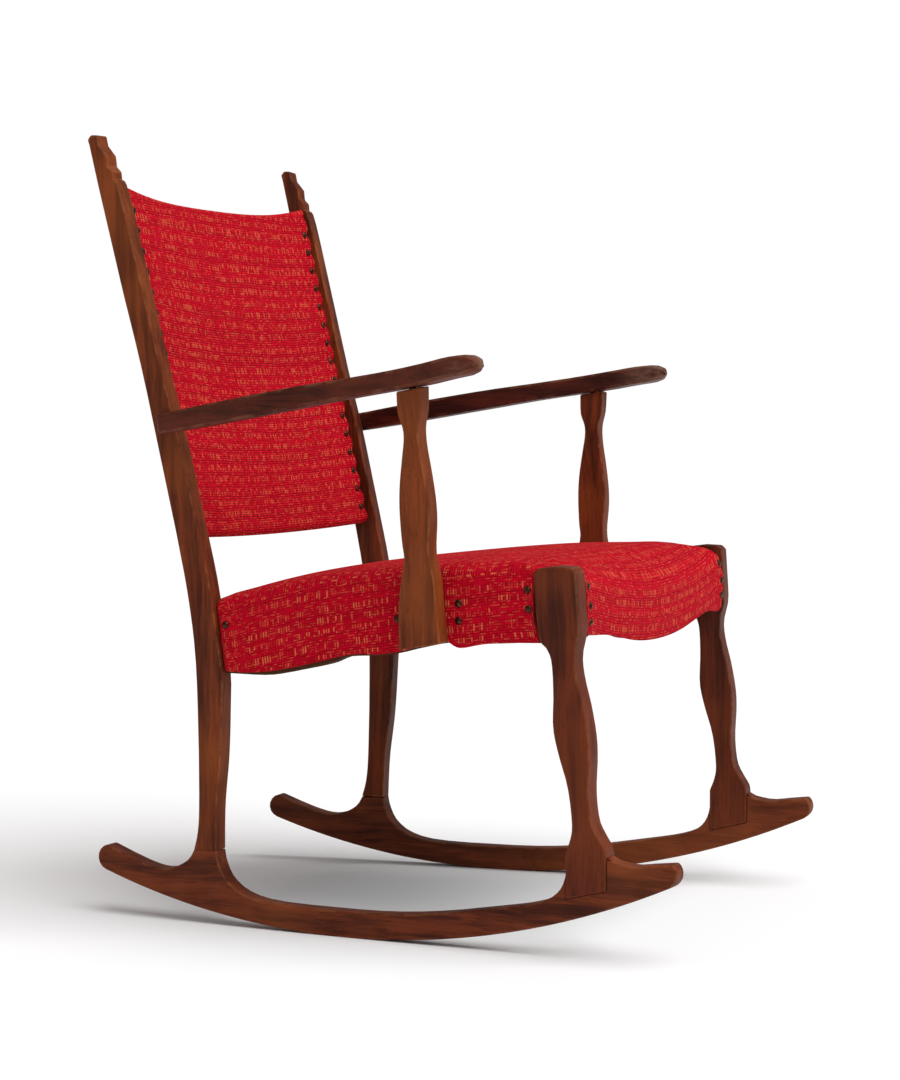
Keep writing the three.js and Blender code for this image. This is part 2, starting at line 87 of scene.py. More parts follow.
def through(points: Sequence[tuple[float, float]], at: np.ndarray) -> np.ndarray:
    """A smooth curve through points, read at some places.

    Args:
        points: Pairs of place and value, with rising places.
        at: Places to read.

    Returns:
        The values there.
    """
    xs, ys = np.array(points, float).T
    slopes = np.gradient(ys, xs)
    i = np.clip(np.searchsorted(xs, at) - 1, 0, len(xs) - 2)
    width = xs[i + 1] - xs[i]
    t = np.clip((at - xs[i]) / width, 0.0, 1.0)
    rise = (2 * t**3 - 3 * t**2 + 1) * ys[i] + (3 * t**2 - 2 * t**3) * ys[i + 1]
    return rise + ((t**3 - 2 * t**2 + t) * slopes[i] + (t**3 - t**2) * slopes[i + 1]) * width


# ---------------------------------------------------------------- shader graphs
class Graph:
    """A material's node tree, with short ways to add nodes."""

    def __init__(self, name: str) -> None:
        """Makes an empty material with a Principled BSDF.

        Args:
            name: The material's name.
        """
        self.material = bpy.data.materials.new(name)
        self.material.use_nodes = True
        self.tree = self.material.node_tree
        self.shader = self.tree.nodes["Principled BSDF"]

    def node(self, kind: str, settings: dict | None = None, **inputs: object) -> bpy.types.Node:
        """Adds a node.

        Args:
            kind: The node's type name, without its ShaderNode prefix.
            settings: Properties to set on it.
            inputs: Values or sockets, by input name with spaces as underscores.

        Returns:
            The node.
        """
        made = self.tree.nodes.new(f"ShaderNode{kind}")
        for key, value in (settings or {}).items():
            setattr(made, key, value)
        for key, value in inputs.items():
            self.feed(made.inputs[key.replace("_", " ")], value)
        return made

    def feed(self, socket: bpy.types.NodeSocket, value: object) -> None:
        """Links a socket to an output, or sets its value.

        Args:
            socket: The input to feed.
            value: An output socket, or a plain value.
        """
        if isinstance(value, bpy.types.NodeSocket):
            self.tree.links.new(value, socket)
        else:
            socket.default_value = value

    def math(self, operation: str, *values: object) -> bpy.types.NodeSocket:
        """The result of a Math node.

        Args:
            operation: The node's operation.
            values: Its numbers or sockets, in order.

        Returns:
            The result's socket.
        """
        made = self.node("Math", {"operation": operation})
        for socket, value in zip(made.inputs, values):
            self.feed(socket, value)
        return made.outputs[0]

    def blend(self, factor: object, first: object, second: object) -> bpy.types.NodeSocket:
        """A mix of two colours.

        Args:
            factor: How much of the second.
            first: A colour or socket.
            second: A colour or socket.

        Returns:
            The colour's socket.
        """
        made = self.node("Mix", {"data_type": "RGBA"})
        for index, value in ((0, factor), (6, first), (7, second)):
            self.feed(made.inputs[index], value)
        return made.outputs[2]

    def noise(
        self, vector: object, scale: float, detail: float = 2.0, roughness: float = 0.5
    ) -> bpy.types.NodeSocket:
        """The value of a Noise texture.

        Args:
            vector: Where it is read.
            scale: Its scale.
            detail: Its number of octaves.
            roughness: The weight of the finer octaves.

        Returns:
            The factor's socket.
        """
        made = self.node("TexNoise", Vector=vector, Scale=scale, Detail=detail, Roughness=roughness)
        return made.outputs["Fac"]

    def spread(self, value: object, low: float, high: float) -> bpy.types.NodeSocket:
        """A value stretched so that low becomes 0 and high becomes 1, with smooth ends.

        Args:
            value: The value's socket.
            low: What becomes 0.
            high: What becomes 1.

        Returns:
            The stretched value's socket.
        """
        made = self.node("MapRange", {"interpolation_type": "SMOOTHSTEP"})
        for index, number in enumerate((value, low, high)):
            self.feed(made.inputs[index], number)
        return made.outputs[0]

    def stretched(self, vector: object, scale: tuple[float, float, float]) -> bpy.types.NodeSocket:
        """A vector scaled along each axis."""
        return self.node("Mapping", Vector=vector, Scale=scale).outputs[0]

    def place(self) -> bpy.types.NodeSocket:
        """Object coordinates."""
        return self.node("TexCoord").outputs["Object"]

    def bump(self, height: object, distance: float, strength: float = 1.0) -> None:
        """Gives the shader relief.

        Args:
            height: The relief's socket, from 0 to 1.
            distance: Its depth in metres.
            strength: How much of it shows.
        """
        made = self.node("Bump", Strength=strength, Distance=distance, Height=height)
        self.feed(self.shader.inputs["Normal"], made.outputs[0])


def srgb(red: int, green: int, blue: int) -> tuple[float, float, float, float]:
    """A linear colour from 8-bit sRGB levels.

    Args:
        red: Its red level.
        green: Its green level.
        blue: Its blue level.

    Returns:
        The opaque colour.
    """
    levels = [v / 255 for v in (red, green, blue)]
    linear = [v / 12.92 if v <= 0.04045 else ((v + 0.055) / 1.055) ** 2.4 for v in levels]
    return (*linear, 1.0)


# ---------------------------------------------------------------- finishes
class Grain(Enum):
    """The way a board's grain runs, as the stretch of its pattern along x, y and z."""

    ALONG_Y = (1.0, 0.045, 1.0)
    ALONG_Z = (1.0, 1.0, 0.045)
    ALONG_X = (0.045, 1.0, 1.0)


@dataclass(frozen=True)
class OiledWood:
    """Old oiled wood: streaky brown, darker in its pores, lighter where its arrises are rubbed."""

    name: str
    grain: Grain
    dark: tuple[int, int, int] = (50, 18, 9)
    mid: tuple[int, int, int] = (98, 38, 19)
    light: tuple[int, int, int] = (124, 57, 26)
    rubbed: tuple[int, int, int] = (140, 84, 52)
    roughness: float = 0.5
    rub: float = 0.32

    def build(self) -> bpy.types.Material:
        """Makes the finish.

        Returns:
            Its material, which reads the piece's attribute "arris".
        """
        graph = Graph(self.name)
        place = graph.place()
        wander = graph.node("TexNoise", Vector=place, Scale=7.0, Detail=2.0).outputs["Color"]
        bent = graph.node("VectorMath", {"operation": "MULTIPLY_ADD"})
        for index, value in enumerate((wander, (0.02, 0.02, 0.02), place)):
            graph.feed(bent.inputs[index], value)
        along = graph.stretched(bent.outputs[0], self.grain.value)
        streaks = graph.noise(along, 230.0, 5.0, 0.62)
        bands = graph.noise(along, 60.0, 2.0, 0.5)
        cloud = graph.noise(place, 5.5, 3.0, 0.55)
        fine = graph.noise(along, 620.0, 3.0, 0.6)
        tone = graph.math("ADD", graph.math("MULTIPLY", streaks, 0.55), graph.math("MULTIPLY", bands, 0.45))
        base = graph.blend(graph.spread(tone, 0.36, 0.66), srgb(*self.dark), srgb(*self.mid))
        lighter = graph.math("MULTIPLY", graph.spread(cloud, 0.36, 0.80), 0.7)
        base = graph.blend(lighter, base, srgb(*self.light))
        base = graph.blend(graph.spread(bands, 0.3, 0.5), graph.blend(0.35, base, srgb(*self.dark)), base)
        pores = graph.spread(fine, 0.60, 0.70)
        base = graph.blend(graph.math("MULTIPLY", pores, 0.55), base, srgb(*self.dark))
        arris = graph.node("Attribute", {"attribute_name": "arris"}).outputs["Fac"]
        patchy = graph.spread(graph.noise(place, 42.0, 4.0, 0.6), 0.42, 0.62)
        worn = graph.math("MULTIPLY", graph.math("MULTIPLY", arris, patchy), self.rub)
        base = graph.blend(worn, base, srgb(*self.rubbed))
        graph.feed(graph.shader.inputs["Base Color"], self.handled(graph, place, base))
        gloss = graph.math("MULTIPLY_ADD", graph.noise(place, 26.0, 4.0, 0.6), 0.3, self.roughness - 0.12)
        rough = graph.math("ADD", gloss, graph.math("MULTIPLY", pores, 0.2))
        graph.feed(graph.shader.inputs["Roughness"], rough)
        graph.shader.inputs["Specular IOR Level"].default_value = 0.12
        raised = graph.math("MULTIPLY", streaks, 0.6)
        relief = graph.math("SUBTRACT", raised, graph.math("MULTIPLY", pores, 0.6))
        graph.bump(relief, 0.0003, 0.6)
        return graph.material

    def handled(
        self, graph: Graph, place: bpy.types.NodeSocket, base: bpy.types.NodeSocket
    ) -> bpy.types.NodeSocket:
        """The wood's colour where hands have worn it, which is nowhere on a plain board.

        Args:
            graph: The material's graph; not used by a plain board.
            place: Object coordinates; not used by a plain board.
            base: The colour so far.

        Returns:
            The colour's socket.
        """
        return base


@dataclass(frozen=True)
class WornArmWood(OiledWood):
    """Arm wood, nearly black with handling, whose front ends are rubbed to a dull grey brown."""

    dark: tuple[int, int, int] = (42, 15, 9)
    mid: tuple[int, int, int] = (78, 31, 19)
    light: tuple[int, int, int] = (108, 48, 30)
    rubbed: tuple[int, int, int] = (138, 86, 60)
    end_y: float = -0.10
    end_fade: float = 0.05
    grey: tuple[int, int, int] = (120, 86, 70)

    def handled(
        self, graph: Graph, place: bpy.types.NodeSocket, base: bpy.types.NodeSocket
    ) -> bpy.types.NodeSocket:
        """The wood's colour, greyed in patches at the front end of the arm.

        Args:
            graph: The material's graph.
            place: Object coordinates.
            base: The colour so far.

        Returns:
            The colour's socket.
        """
        split = graph.node("SeparateXYZ", Vector=place)
        end = graph.spread(split.outputs["Y"], self.end_y, self.end_y - self.end_fade)
        streaks = graph.noise(graph.stretched(place, self.grain.value), 55.0, 5.0, 0.65)
        patches = graph.spread(streaks, 0.34, 0.62)
        amount = graph.math("MULTIPLY", graph.math("MULTIPLY", end, patches), 0.8)
        return graph.blend(amount, base, srgb(*self.grey))


@dataclass(frozen=True)
class SlubWool:
    """Thick red wool whose orange slub yarns float over its ribs in rows, with shade painted into the grooves
    between its yarns.
    """

    name: str = "slub_wool"
    rib_pitch: float = 0.0031
    cord_pitch: float = 0.0034
    row_pitch: float = 0.0148
    column_pitch: float = 0.033
    wander: float = 0.0045
    # painted shade: the dark red painted into the grooves between the ribs and between the cords
    painted_groove_shade: tuple[int, int, int] = (92, 0, 12)
    red: tuple[int, int, int] = (176, 0, 23)
    bright: tuple[int, int, int] = (198, 2, 34)
    orange: tuple[int, int, int] = (232, 110, 74)

    def build(self) -> bpy.types.Material:
        """Makes the wool.

        Returns:
            Its material, which reads the piece's UV map "weave" in metres.
        """
        graph = Graph(self.name)
        flat = graph.node("UVMap", {"uv_map": "weave"}).outputs[0]
        across, along = self.wavy(graph, flat)
        rib, rib_luck = self.yarn(graph, along, self.rib_pitch)
        cord, cord_luck = self.yarn(graph, across, self.cord_pitch)
        rows = self.band(graph, along, self.row_pitch, 31.0)
        columns = self.band(graph, across, self.column_pitch, 17.0)
        over_ribs = graph.math("SNAP", along, 2 * self.rib_pitch)
        float_slub = self.slub(graph, across, over_ribs, self.cord_pitch, 165.0)
        rib_slub = self.slub(graph, along, across, self.rib_pitch, 120.0)
        floats = graph.math("MULTIPLY", rows, graph.spread(float_slub, 0.46, 0.60))
        floats = graph.math("MULTIPLY", floats, graph.spread(cord, 0.45, 0.85))
        floats = graph.math("MULTIPLY", floats, graph.spread(cord_luck, 0.12, 0.4))
        streaks = graph.math("MULTIPLY", graph.spread(rib_slub, 0.53, 0.62), graph.spread(rib, 0.55, 0.95))
        low_rows = graph.math("MULTIPLY_ADD", rows, -0.45, 0.85)
        streaks = graph.math("MULTIPLY", streaks, graph.math("MAXIMUM", low_rows, columns))
        fleck = graph.math("MAXIMUM", floats, graph.math("MULTIPLY", streaks, 0.5))
        shade = graph.noise(graph.stretched(flat, (60.0, 240.0, 1.0)), 1.0, 3.0, 0.6)
        base = graph.blend(graph.spread(shade, 0.35, 0.65), srgb(*self.red), srgb(*self.bright))
        # painted shade: the grooves between the ribs are darkened, some more than others
        rib_groove_shade = graph.math("MULTIPLY", graph.spread(rib, 0.5, 0.05), graph.spread(rib_luck, 0.15, 0.75))
        base = graph.blend(graph.math("MULTIPLY", rib_groove_shade, 0.95), base, srgb(*self.painted_groove_shade))
        # painted shade: the gaps between the cords are darkened as well
        between = graph.math("MULTIPLY", graph.spread(cord, 0.35, 0.0), 0.5)
        base = graph.blend(between, base, srgb(*self.painted_groove_shade))
        base = graph.blend(graph.math("MULTIPLY", fleck, 0.78), base, srgb(*self.orange))
        graph.feed(graph.shader.inputs["Base Color"], base)
        graph.shader.inputs["Roughness"].default_value = 0.95
        graph.shader.inputs["Sheen Weight"].default_value = 0.03
        graph.shader.inputs["Sheen Roughness"].default_value = 0.5
        graph.shader.inputs["Sheen Tint"].default_value = srgb(235, 90, 90)
        graph.shader.inputs["Specular IOR Level"].default_value = 0.08
        fibre = graph.noise(flat, 1900.0, 3.0, 0.7)
        relief = graph.math("ADD", graph.math("MULTIPLY", rib, 0.6), graph.math("MULTIPLY", cord, 0.25))
        relief = graph.math("ADD", relief, graph.math("MULTIPLY", fleck, 0.5))
        relief = graph.math("ADD", relief, graph.math("MULTIPLY", fibre, 0.45))
        graph.bump(relief, 0.0011, 0.85)
        return graph.material

    def wavy(self, graph: Graph, flat: bpy.types.NodeSocket) -> tuple[bpy.types.NodeSocket, ...]:
        """The cloth's two directions, with yarns that wander a little.

        Args:
            graph: The material's graph.
            flat: The place on the flat cloth.

        Returns:
            The places across and along the cloth.
        """
        noise = graph.node("TexNoise", Vector=flat, Scale=17.0, Detail=2.0).outputs["Color"]
        centred = graph.node("VectorMath", {"operation": "SUBTRACT"})
        graph.feed(centred.inputs[0], noise)
        graph.feed(centred.inputs[1], (0.5, 0.5, 0.5))
        bent = graph.node("VectorMath", {"operation": "MULTIPLY_ADD"})
        for index, value in enumerate((centred.outputs[0], (self.wander, self.wander, 0.0), flat)):
            graph.feed(bent.inputs[index], value)
        split = graph.node("SeparateXYZ", Vector=bent.outputs[0])
        return split.outputs["X"], split.outputs["Y"]

    def yarn(self, graph: Graph, place: object, pitch: float) -> tuple[bpy.types.NodeSocket, ...]:
        """Yarns that lie side by side.

        Args:
            graph: The material's graph.
            place: Where they are read, across the yarns.
            pitch: From one yarn to the next, in metres.

        Returns:
            The yarns' rounded profile, 0 between two and 1 on a crest, and a random number for each yarn.
        """
        turn = graph.math("MULTIPLY", place, math.pi / pitch)
        number = graph.math("FLOOR", graph.math("DIVIDE", place, pitch))
        luck = graph.node("TexWhiteNoise", {"noise_dimensions": "1D"}, W=number).outputs["Value"]
        return graph.math("ABSOLUTE", graph.math("SINE", turn)), luck

    def band(self, graph: Graph, place: object, pitch: float, jitter: float) -> bpy.types.NodeSocket:
        """Soft bands at an uneven spacing.

        Args:
            graph: The material's graph.
            place: Where they are read, across the bands.
            pitch: Their mean spacing in metres.
            jitter: How fast the spacing changes, per metre.

        Returns:
            A socket that is 1 inside a band.
        """
        drift = graph.node("TexNoise", {"noise_dimensions": "1D"}, W=place, Scale=jitter, Detail=1.0)
        phase = graph.math("MULTIPLY", place, 2 * math.pi / pitch)
        phase = graph.math("MULTIPLY_ADD", drift.outputs["Fac"], 5.0, phase)
        return graph.spread(graph.math("SINE", phase), -0.35, 0.35)

    def slub(
        self, graph: Graph, across: object, along: object, pitch: float, rate: float
    ) -> bpy.types.NodeSocket:
        """Noise that runs along each yarn and differs from one yarn to the next.

        Args:
            graph: The material's graph.
            across: Place across the yarns.
            along: Place along the yarns.
            pitch: From one yarn to the next, in metres.
            rate: How often it changes along a yarn, per metre.

        Returns:
            The noise's socket.
        """
        number = graph.math("FLOOR", graph.math("DIVIDE", across, pitch))
        apart = graph.math("MULTIPLY", number, 7.31)
        where = graph.node("CombineXYZ", X=apart, Y=graph.math("MULTIPLY", along, rate))
        return graph.noise(where.outputs[0], 1.0, 2.0, 0.5)


@dataclass(frozen=True)
class PlainWeave:
    """An even plain weave for webbing and lining."""

    name: str
    colour: tuple[int, int, int]
    second: tuple[int, int, int]
    pitch: float = 0.0016

    def build(self) -> bpy.types.Material:
        """Makes the weave.

        Returns:
            Its material.
        """
        graph = Graph(self.name)
        place = graph.place()
        split = graph.node("SeparateXYZ", Vector=place)
        warp = graph.math("SINE", graph.math("MULTIPLY", split.outputs["X"], math.pi / self.pitch))
        weft_at = graph.math("ADD", split.outputs["Y"], split.outputs["Z"])
        weft = graph.math("SINE", graph.math("MULTIPLY", weft_at, math.pi / self.pitch))
        weave = graph.math("MULTIPLY", warp, weft)
        slub = graph.noise(graph.stretched(place, (30.0, 400.0, 400.0)), 1.0, 3.0, 0.6)
        tone = graph.math("MULTIPLY_ADD", weave, 0.25, slub)
        base = graph.blend(graph.spread(tone, 0.25, 0.8), srgb(*self.second), srgb(*self.colour))
        graph.feed(graph.shader.inputs["Base Color"], base)
        graph.shader.inputs["Roughness"].default_value = 0.95
        graph.bump(weave, 0.0004, 0.7)
        return graph.material


@dataclass(frozen=True)
class DarkBrass:
    """Antique brass, nearly black, rubbed to metal in small patches."""

    name: str = "dark_brass"
    tarnish: tuple[int, int, int] = (46, 26, 17)
    metal: tuple[int, int, int] = (116, 68, 44)

    def build(self) -> bpy.types.Material:
        """Makes the brass.

        Returns:
            The nails' material.
        """
        graph = Graph(self.name)
        spots = graph.spread(graph.noise(graph.place(), 420.0, 4.0, 0.6), 0.45, 0.68)
        base = graph.blend(spots, srgb(*self.tarnish), srgb(*self.metal))
        graph.feed(graph.shader.inputs["Base Color"], base)
        graph.shader.inputs["Metallic"].default_value = 0.85
        graph.feed(graph.shader.inputs["Roughness"], graph.math("MULTIPLY_ADD", spots, -0.16, 0.42))
        graph.bump(spots, 0.0001, 0.4)
        return graph.material


@dataclass(frozen=True)
class PlainSteel:
    """Turned steel of the hidden screws."""

    name: str = "plain_steel"
    dull: tuple[int, int, int] = (120, 120, 118)
    bright: tuple[int, int, int] = (168, 168, 165)

    def build(self) -> bpy.types.Material:
        """Makes the steel.

        Returns:
            The screws' material.
        """
        graph = Graph(self.name)
        rings = graph.noise(graph.stretched(graph.place(), (2000.0, 60.0, 60.0)), 1.0, 2.0, 0.5)
        base = graph.blend(rings, srgb(*self.dull), srgb(*self.bright))
        graph.feed(graph.shader.inputs["Base Color"], base)
        graph.shader.inputs["Metallic"].default_value = 1.0
        graph.feed(graph.shader.inputs["Roughness"], graph.math("MULTIPLY_ADD", rings, 0.25, 0.25))
        return graph.material


# ---------------------------------------------------------------- mesh tools
def new_piece(name: str, mesh: bpy.types.Mesh) -> bpy.types.Object:
    """Links a mesh into the scene as an object at the origin.

    Args:
        name: The object's name.
        mesh: Its mesh.

    Returns:
        The object.
    """
    piece = bpy.data.objects.new(name, mesh)
    bpy.context.collection.objects.link(piece)
    return piece


def settled(piece: bpy.types.Object) -> bpy.types.Object:
    """Turns an object's modifiers into plain mesh.

    Args:
        piece: The object.

    Returns:
        The same object, with no modifiers left.
    """
    graph = bpy.context.evaluated_depsgraph_get()
    mesh = bpy.data.meshes.new_from_object(piece.evaluated_get(graph), depsgraph=graph)
    piece.modifiers.clear()
    piece.data = mesh
    return piece


def dress(piece: bpy.types.Object, material: bpy.types.Material) -> None:
    """Gives a piece one material."""
    piece.data.materials.clear()
    piece.data.materials.append(material)


def shade_softly(mesh: bpy.types.Mesh, angle: float = math.radians(40)) -> None:
    """Shades a mesh smooth except across edges sharper than an angle."""
    mesh.shade_smooth()
    mesh.set_sharp_from_angle(angle=angle)


def merged_copy(node: str) -> bmesh.types.BMesh:
    """A CAD node's mesh with its doubles merged and its flat faces joined.

    Args:
        node: The node's name.

    Returns:
        The merged mesh, still in metres.
    """
    work = bmesh.new()
    work.from_mesh(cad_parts[node].data)
    bmesh.ops.remove_doubles(work, verts=work.verts, dist=DOUBLES_APART * MM)
    bmesh.ops.dissolve_limit(
        work,
        angle_limit=math.radians(FLAT_WITHIN_DEGREES),
        verts=work.verts,
        edges=work.edges,
        use_dissolve_boundaries=False,
    )
    return work


@dataclass
class Board:
    """A wooden CAD node that is shown with softened arrises."""

    node: str
    slot: str
    soft: float = 1.8
    joint_reach: float = 0.9
    steps: int = 3
    arris_degrees: float = 35.0

    def build(self, material: bpy.types.Material) -> bpy.types.Object:
        """Makes the softened board and lets it stand for its node.

        Args:
            material: The board's wood.

        Returns:
            The piece.
        """
        work = merged_copy(self.node)
        weight = work.edges.layers.float.new("bevel_weight_edge")
        others = self.neighbours()
        for edge in work.edges:
            two_faced = len(edge.link_faces) == 2
            sharp = two_faced and edge.calc_face_angle(0.0) > math.radians(self.arris_degrees)
            edge[weight] = 1.0 if sharp and self.is_free(edge, others) else 0.0
        mesh = bpy.data.meshes.new(f"{self.node}_softened")
        work.to_mesh(mesh)
        work.free()
        piece = new_piece(f"{self.node}_softened", mesh)
        flats = len(mesh.polygons)
        bevel = piece.modifiers.new("soften", "BEVEL")
        bevel.limit_method = "WEIGHT"
        bevel.width = self.soft * MM
        bevel.segments = self.steps
        bevel.use_clamp_overlap = False
        bevel.material = 1
        mesh.materials.append(material)
        mesh.materials.append(material)
        settled(piece)
        self.mark_arrises(piece.data)
        dress(piece, material)
        shade_softly(piece.data)
        weighted = piece.modifiers.new("even_shading", "WEIGHTED_NORMAL")
        weighted.keep_sharp = True
        settled(piece)
        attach(piece, ROOT)
        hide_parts(self.node)
        log.info("%s: %d flat faces softened to %d", piece.name, flats, len(piece.data.polygons))
        return piece

    def neighbours(self) -> list[BVHTree]:
        """Finds the hard nodes that this board may meet in a joint.

        Returns:
            The surface of each.
        """
        soft = ("seat_cover", "seat_pad", "seat_lining", "seat_strap", "back_cover", "back_pad", "back_strap")
        trees = []
        for name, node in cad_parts.items():
            if name != self.node and not name.startswith(soft):
                corners = [node.matrix_world @ vertex.co for vertex in node.data.vertices]
                trees.append(BVHTree.FromPolygons(corners, [face.vertices[:] for face in node.data.polygons]))
        return trees

    def is_free(self, edge: bmesh.types.BMEdge, others: list[BVHTree]) -> bool:
        """Tells whether an arris stands clear of every joint and bore."""
        middle = (edge.verts[0].co + edge.verts[1].co) / 2
        return all(tree.find_nearest(middle, self.joint_reach * MM)[0] is None for tree in others)

    def mark_arrises(self, mesh: bpy.types.Mesh) -> None:
        """Stores which faces are softened arrises, for the rubbed edges of the finish.

        Args:
            mesh: The softened mesh, whose arrises have the second material.
        """
        marks = np.array([float(face.material_index == 1) for face in mesh.polygons])
        mesh.attributes.new("arris", "FLOAT", "FACE").data.foreach_set("value", marks)
        mesh.polygons.foreach_set("material_index", np.zeros(len(mesh.polygons), int))


def grid(columns: np.ndarray, rows: np.ndarray) -> tuple[np.ndarray, np.ndarray, list[tuple[int, ...]]]:
    """A grid of places and its faces.

    Args:
        columns: Rising places across.
        rows: Rising places up.

    Returns:
        The place across and the place up of each point, and the faces, which wind from across to up.
    """
    across, up = np.meshgrid(columns, rows)
    wide = len(columns)
    faces = [
        (j * wide + i, j * wide + i + 1, (j + 1) * wide + i + 1, (j + 1) * wide + i)
        for j in range(len(rows) - 1)
        for i in range(wide - 1)
    ]
    return across.ravel(), up.ravel(), faces


def closed_sheet(
    name: str,
    outer: np.ndarray,
    inner: np.ndarray,
    faces: list[tuple[int, ...]],
    flat: np.ndarray,
    turned: Sequence[int] = (),
) -> bpy.types.Mesh:
    """A closed mesh between an outer and an inner surface that share their layout.

    Args:
        name: The mesh's name.
        outer: Points of the outer surface, in metres.
        inner: Points of the inner surface, in the same order.
        faces: Faces of the outer surface, seen from outside.
        flat: Place of each point on the flat cloth, in metres.
        turned: Numbers of the faces whose cloth is laid with its ribs the other way.

    Returns:
        The mesh, with its cloth places as the UV map "weave".
    """
    count = len(outer)
    used = dict.fromkeys((a, b) for face in faces for a, b in zip(face, face[1:] + face[:1]))
    rim = [(a, b) for a, b in used if (b, a) not in used]
    walls = [(b, a, a + count, b + count) for a, b in rim]
    back = [tuple(i + count for i in reversed(face)) for face in faces]
    mesh = bpy.data.meshes.new(name)
    mesh.from_pydata(np.vstack([outer, inner]).tolist(), [], [*faces, *walls, *back])
    layer = mesh.uv_layers.new(name="weave")
    both = np.vstack([flat, flat])
    corners = np.empty(len(mesh.loops), int)
    mesh.loops.foreach_get("vertex_index", corners)
    places = both[corners]
    for number in turned:
        loops = mesh.polygons[number].loop_indices
        places[loops.start: loops.stop] = places[loops.start: loops.stop, ::-1]
    layer.data.foreach_set("uv", places.ravel())
    mesh.validate()
    return mesh


# ---------------------------------------------------------------- nails
@dataclass
class NailRows:
    """Domed cover nails, set on the cloth where its points and directions say."""

    radius: float = 4.7
    dome: float = 2.6
    tilt: float = 0.14
    seed: int = 7
    points: list[np.ndarray] = field(default_factory=list)
    normals: list[np.ndarray] = field(default_factory=list)

    def add(self, point: Sequence[float], normal: Sequence[float]) -> None:
        """Sets one nail.

        Args:
            point: Its middle on the cloth, in metres.
            normal: The way its head faces.
        """
        self.points.append(np.asarray(point, float))
        self.normals.append(np.asarray(normal, float))

    def tree(self, material: bpy.types.Material) -> bpy.types.NodeTree:
        """The Geometry Nodes tree that puts a domed head on every point.

        Args:
            material: The nails' finish.

        Returns:
            The tree, with the inputs Radius, Dome, Tilt and Seed.
        """
        tree = bpy.data.node_groups.new("domed_nails", "GeometryNodeTree")
        sockets = tree.interface
        sockets.new_socket("Geometry", in_out="INPUT", socket_type="NodeSocketGeometry")
        for name, kind in (("Radius", "Float"), ("Dome", "Float"), ("Tilt", "Float"), ("Seed", "Int")):
            sockets.new_socket(name, in_out="INPUT", socket_type=f"NodeSocket{kind}")
        sockets.new_socket("Geometry", in_out="OUTPUT", socket_type="NodeSocketGeometry")
        add, link = tree.nodes.new, tree.links.new
        inputs, outputs = add("NodeGroupInput"), add("NodeGroupOutput")
        ball = add("GeometryNodeMeshUVSphere")
        ball.inputs["Segments"].default_value = 20
        ball.inputs["Rings"].default_value = 10
        ball.inputs["Radius"].default_value = 1.0
        size = add("ShaderNodeCombineXYZ")
        link(inputs.outputs["Radius"], size.inputs["X"])
        link(inputs.outputs["Radius"], size.inputs["Y"])
        link(inputs.outputs["Dome"], size.inputs["Z"])
        head = add("GeometryNodeTransform")
        link(ball.outputs["Mesh"], head.inputs["Geometry"])
        link(size.outputs[0], head.inputs["Scale"])
        normal = add("GeometryNodeInputNamedAttribute")
        normal.data_type = "FLOAT_VECTOR"
        normal.inputs["Name"].default_value = "facing"
        lean = add("FunctionNodeRandomValue")
        lean.data_type = "FLOAT_VECTOR"
        link(inputs.outputs["Seed"], lean.inputs["Seed"])
        spread = add("ShaderNodeVectorMath")
        spread.operation = "SUBTRACT"
        spread.inputs[1].default_value = (0.5, 0.5, 0.5)
        link(lean.outputs["Value"], spread.inputs[0])
        scaled = add("ShaderNodeVectorMath")
        scaled.operation = "SCALE"
        link(spread.outputs[0], scaled.inputs[0])
        link(inputs.outputs["Tilt"], scaled.inputs["Scale"])
        facing = add("ShaderNodeVectorMath")
        facing.operation = "ADD"
        link(normal.outputs["Attribute"], facing.inputs[0])
        link(scaled.outputs[0], facing.inputs[1])
        turn = add("FunctionNodeAlignRotationToVector")
        turn.axis = "Z"
        link(facing.outputs[0], turn.inputs["Vector"])
        place = add("GeometryNodeInstanceOnPoints")
        link(inputs.outputs["Geometry"], place.inputs["Points"])
        link(head.outputs[0], place.inputs["Instance"])
        link(turn.outputs[0], place.inputs["Rotation"])
        real = add("GeometryNodeRealizeInstances")
        link(place.outputs[0], real.inputs[0])
        smooth = add("GeometryNodeSetShadeSmooth")
        link(real.outputs[0], smooth.inputs["Geometry"])
        finish = add("GeometryNodeSetMaterial")
        finish.inputs["Material"].default_value = material
        link(smooth.outputs[0], finish.inputs["Geometry"])
        link(finish.outputs[0], outputs.inputs[0])
        return tree

    def build(self, material: bpy.types.Material) -> bpy.types.Object:
        """Makes all the nails as one piece.

        Args:
            material: The nails' finish.

        Returns:
            The piece.
        """
        mesh = bpy.data.meshes.new("cover_nails")
        mesh.from_pydata([tuple(p) for p in self.points], [], [])
        facing = mesh.attributes.new("facing", "FLOAT_VECTOR", "POINT")
        facing.data.foreach_set("vector", np.array(self.normals, float).ravel())
        piece = new_piece("cover_nails", mesh)
        modifier = piece.modifiers.new("nails", "NODES")
        modifier.node_group = self.tree(material)
        values = {"Radius": self.radius * MM, "Dome": self.dome * MM, "Tilt": self.tilt, "Seed": self.seed}
        for item in modifier.node_group.interface.items_tree:
            if item.in_out == "INPUT" and item.name in values:
                modifier[item.identifier] = values[item.name]
        settled(piece)
        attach(piece, ROOT)
        log.info("%s: %d nails", piece.name, len(self.points))
        return piece


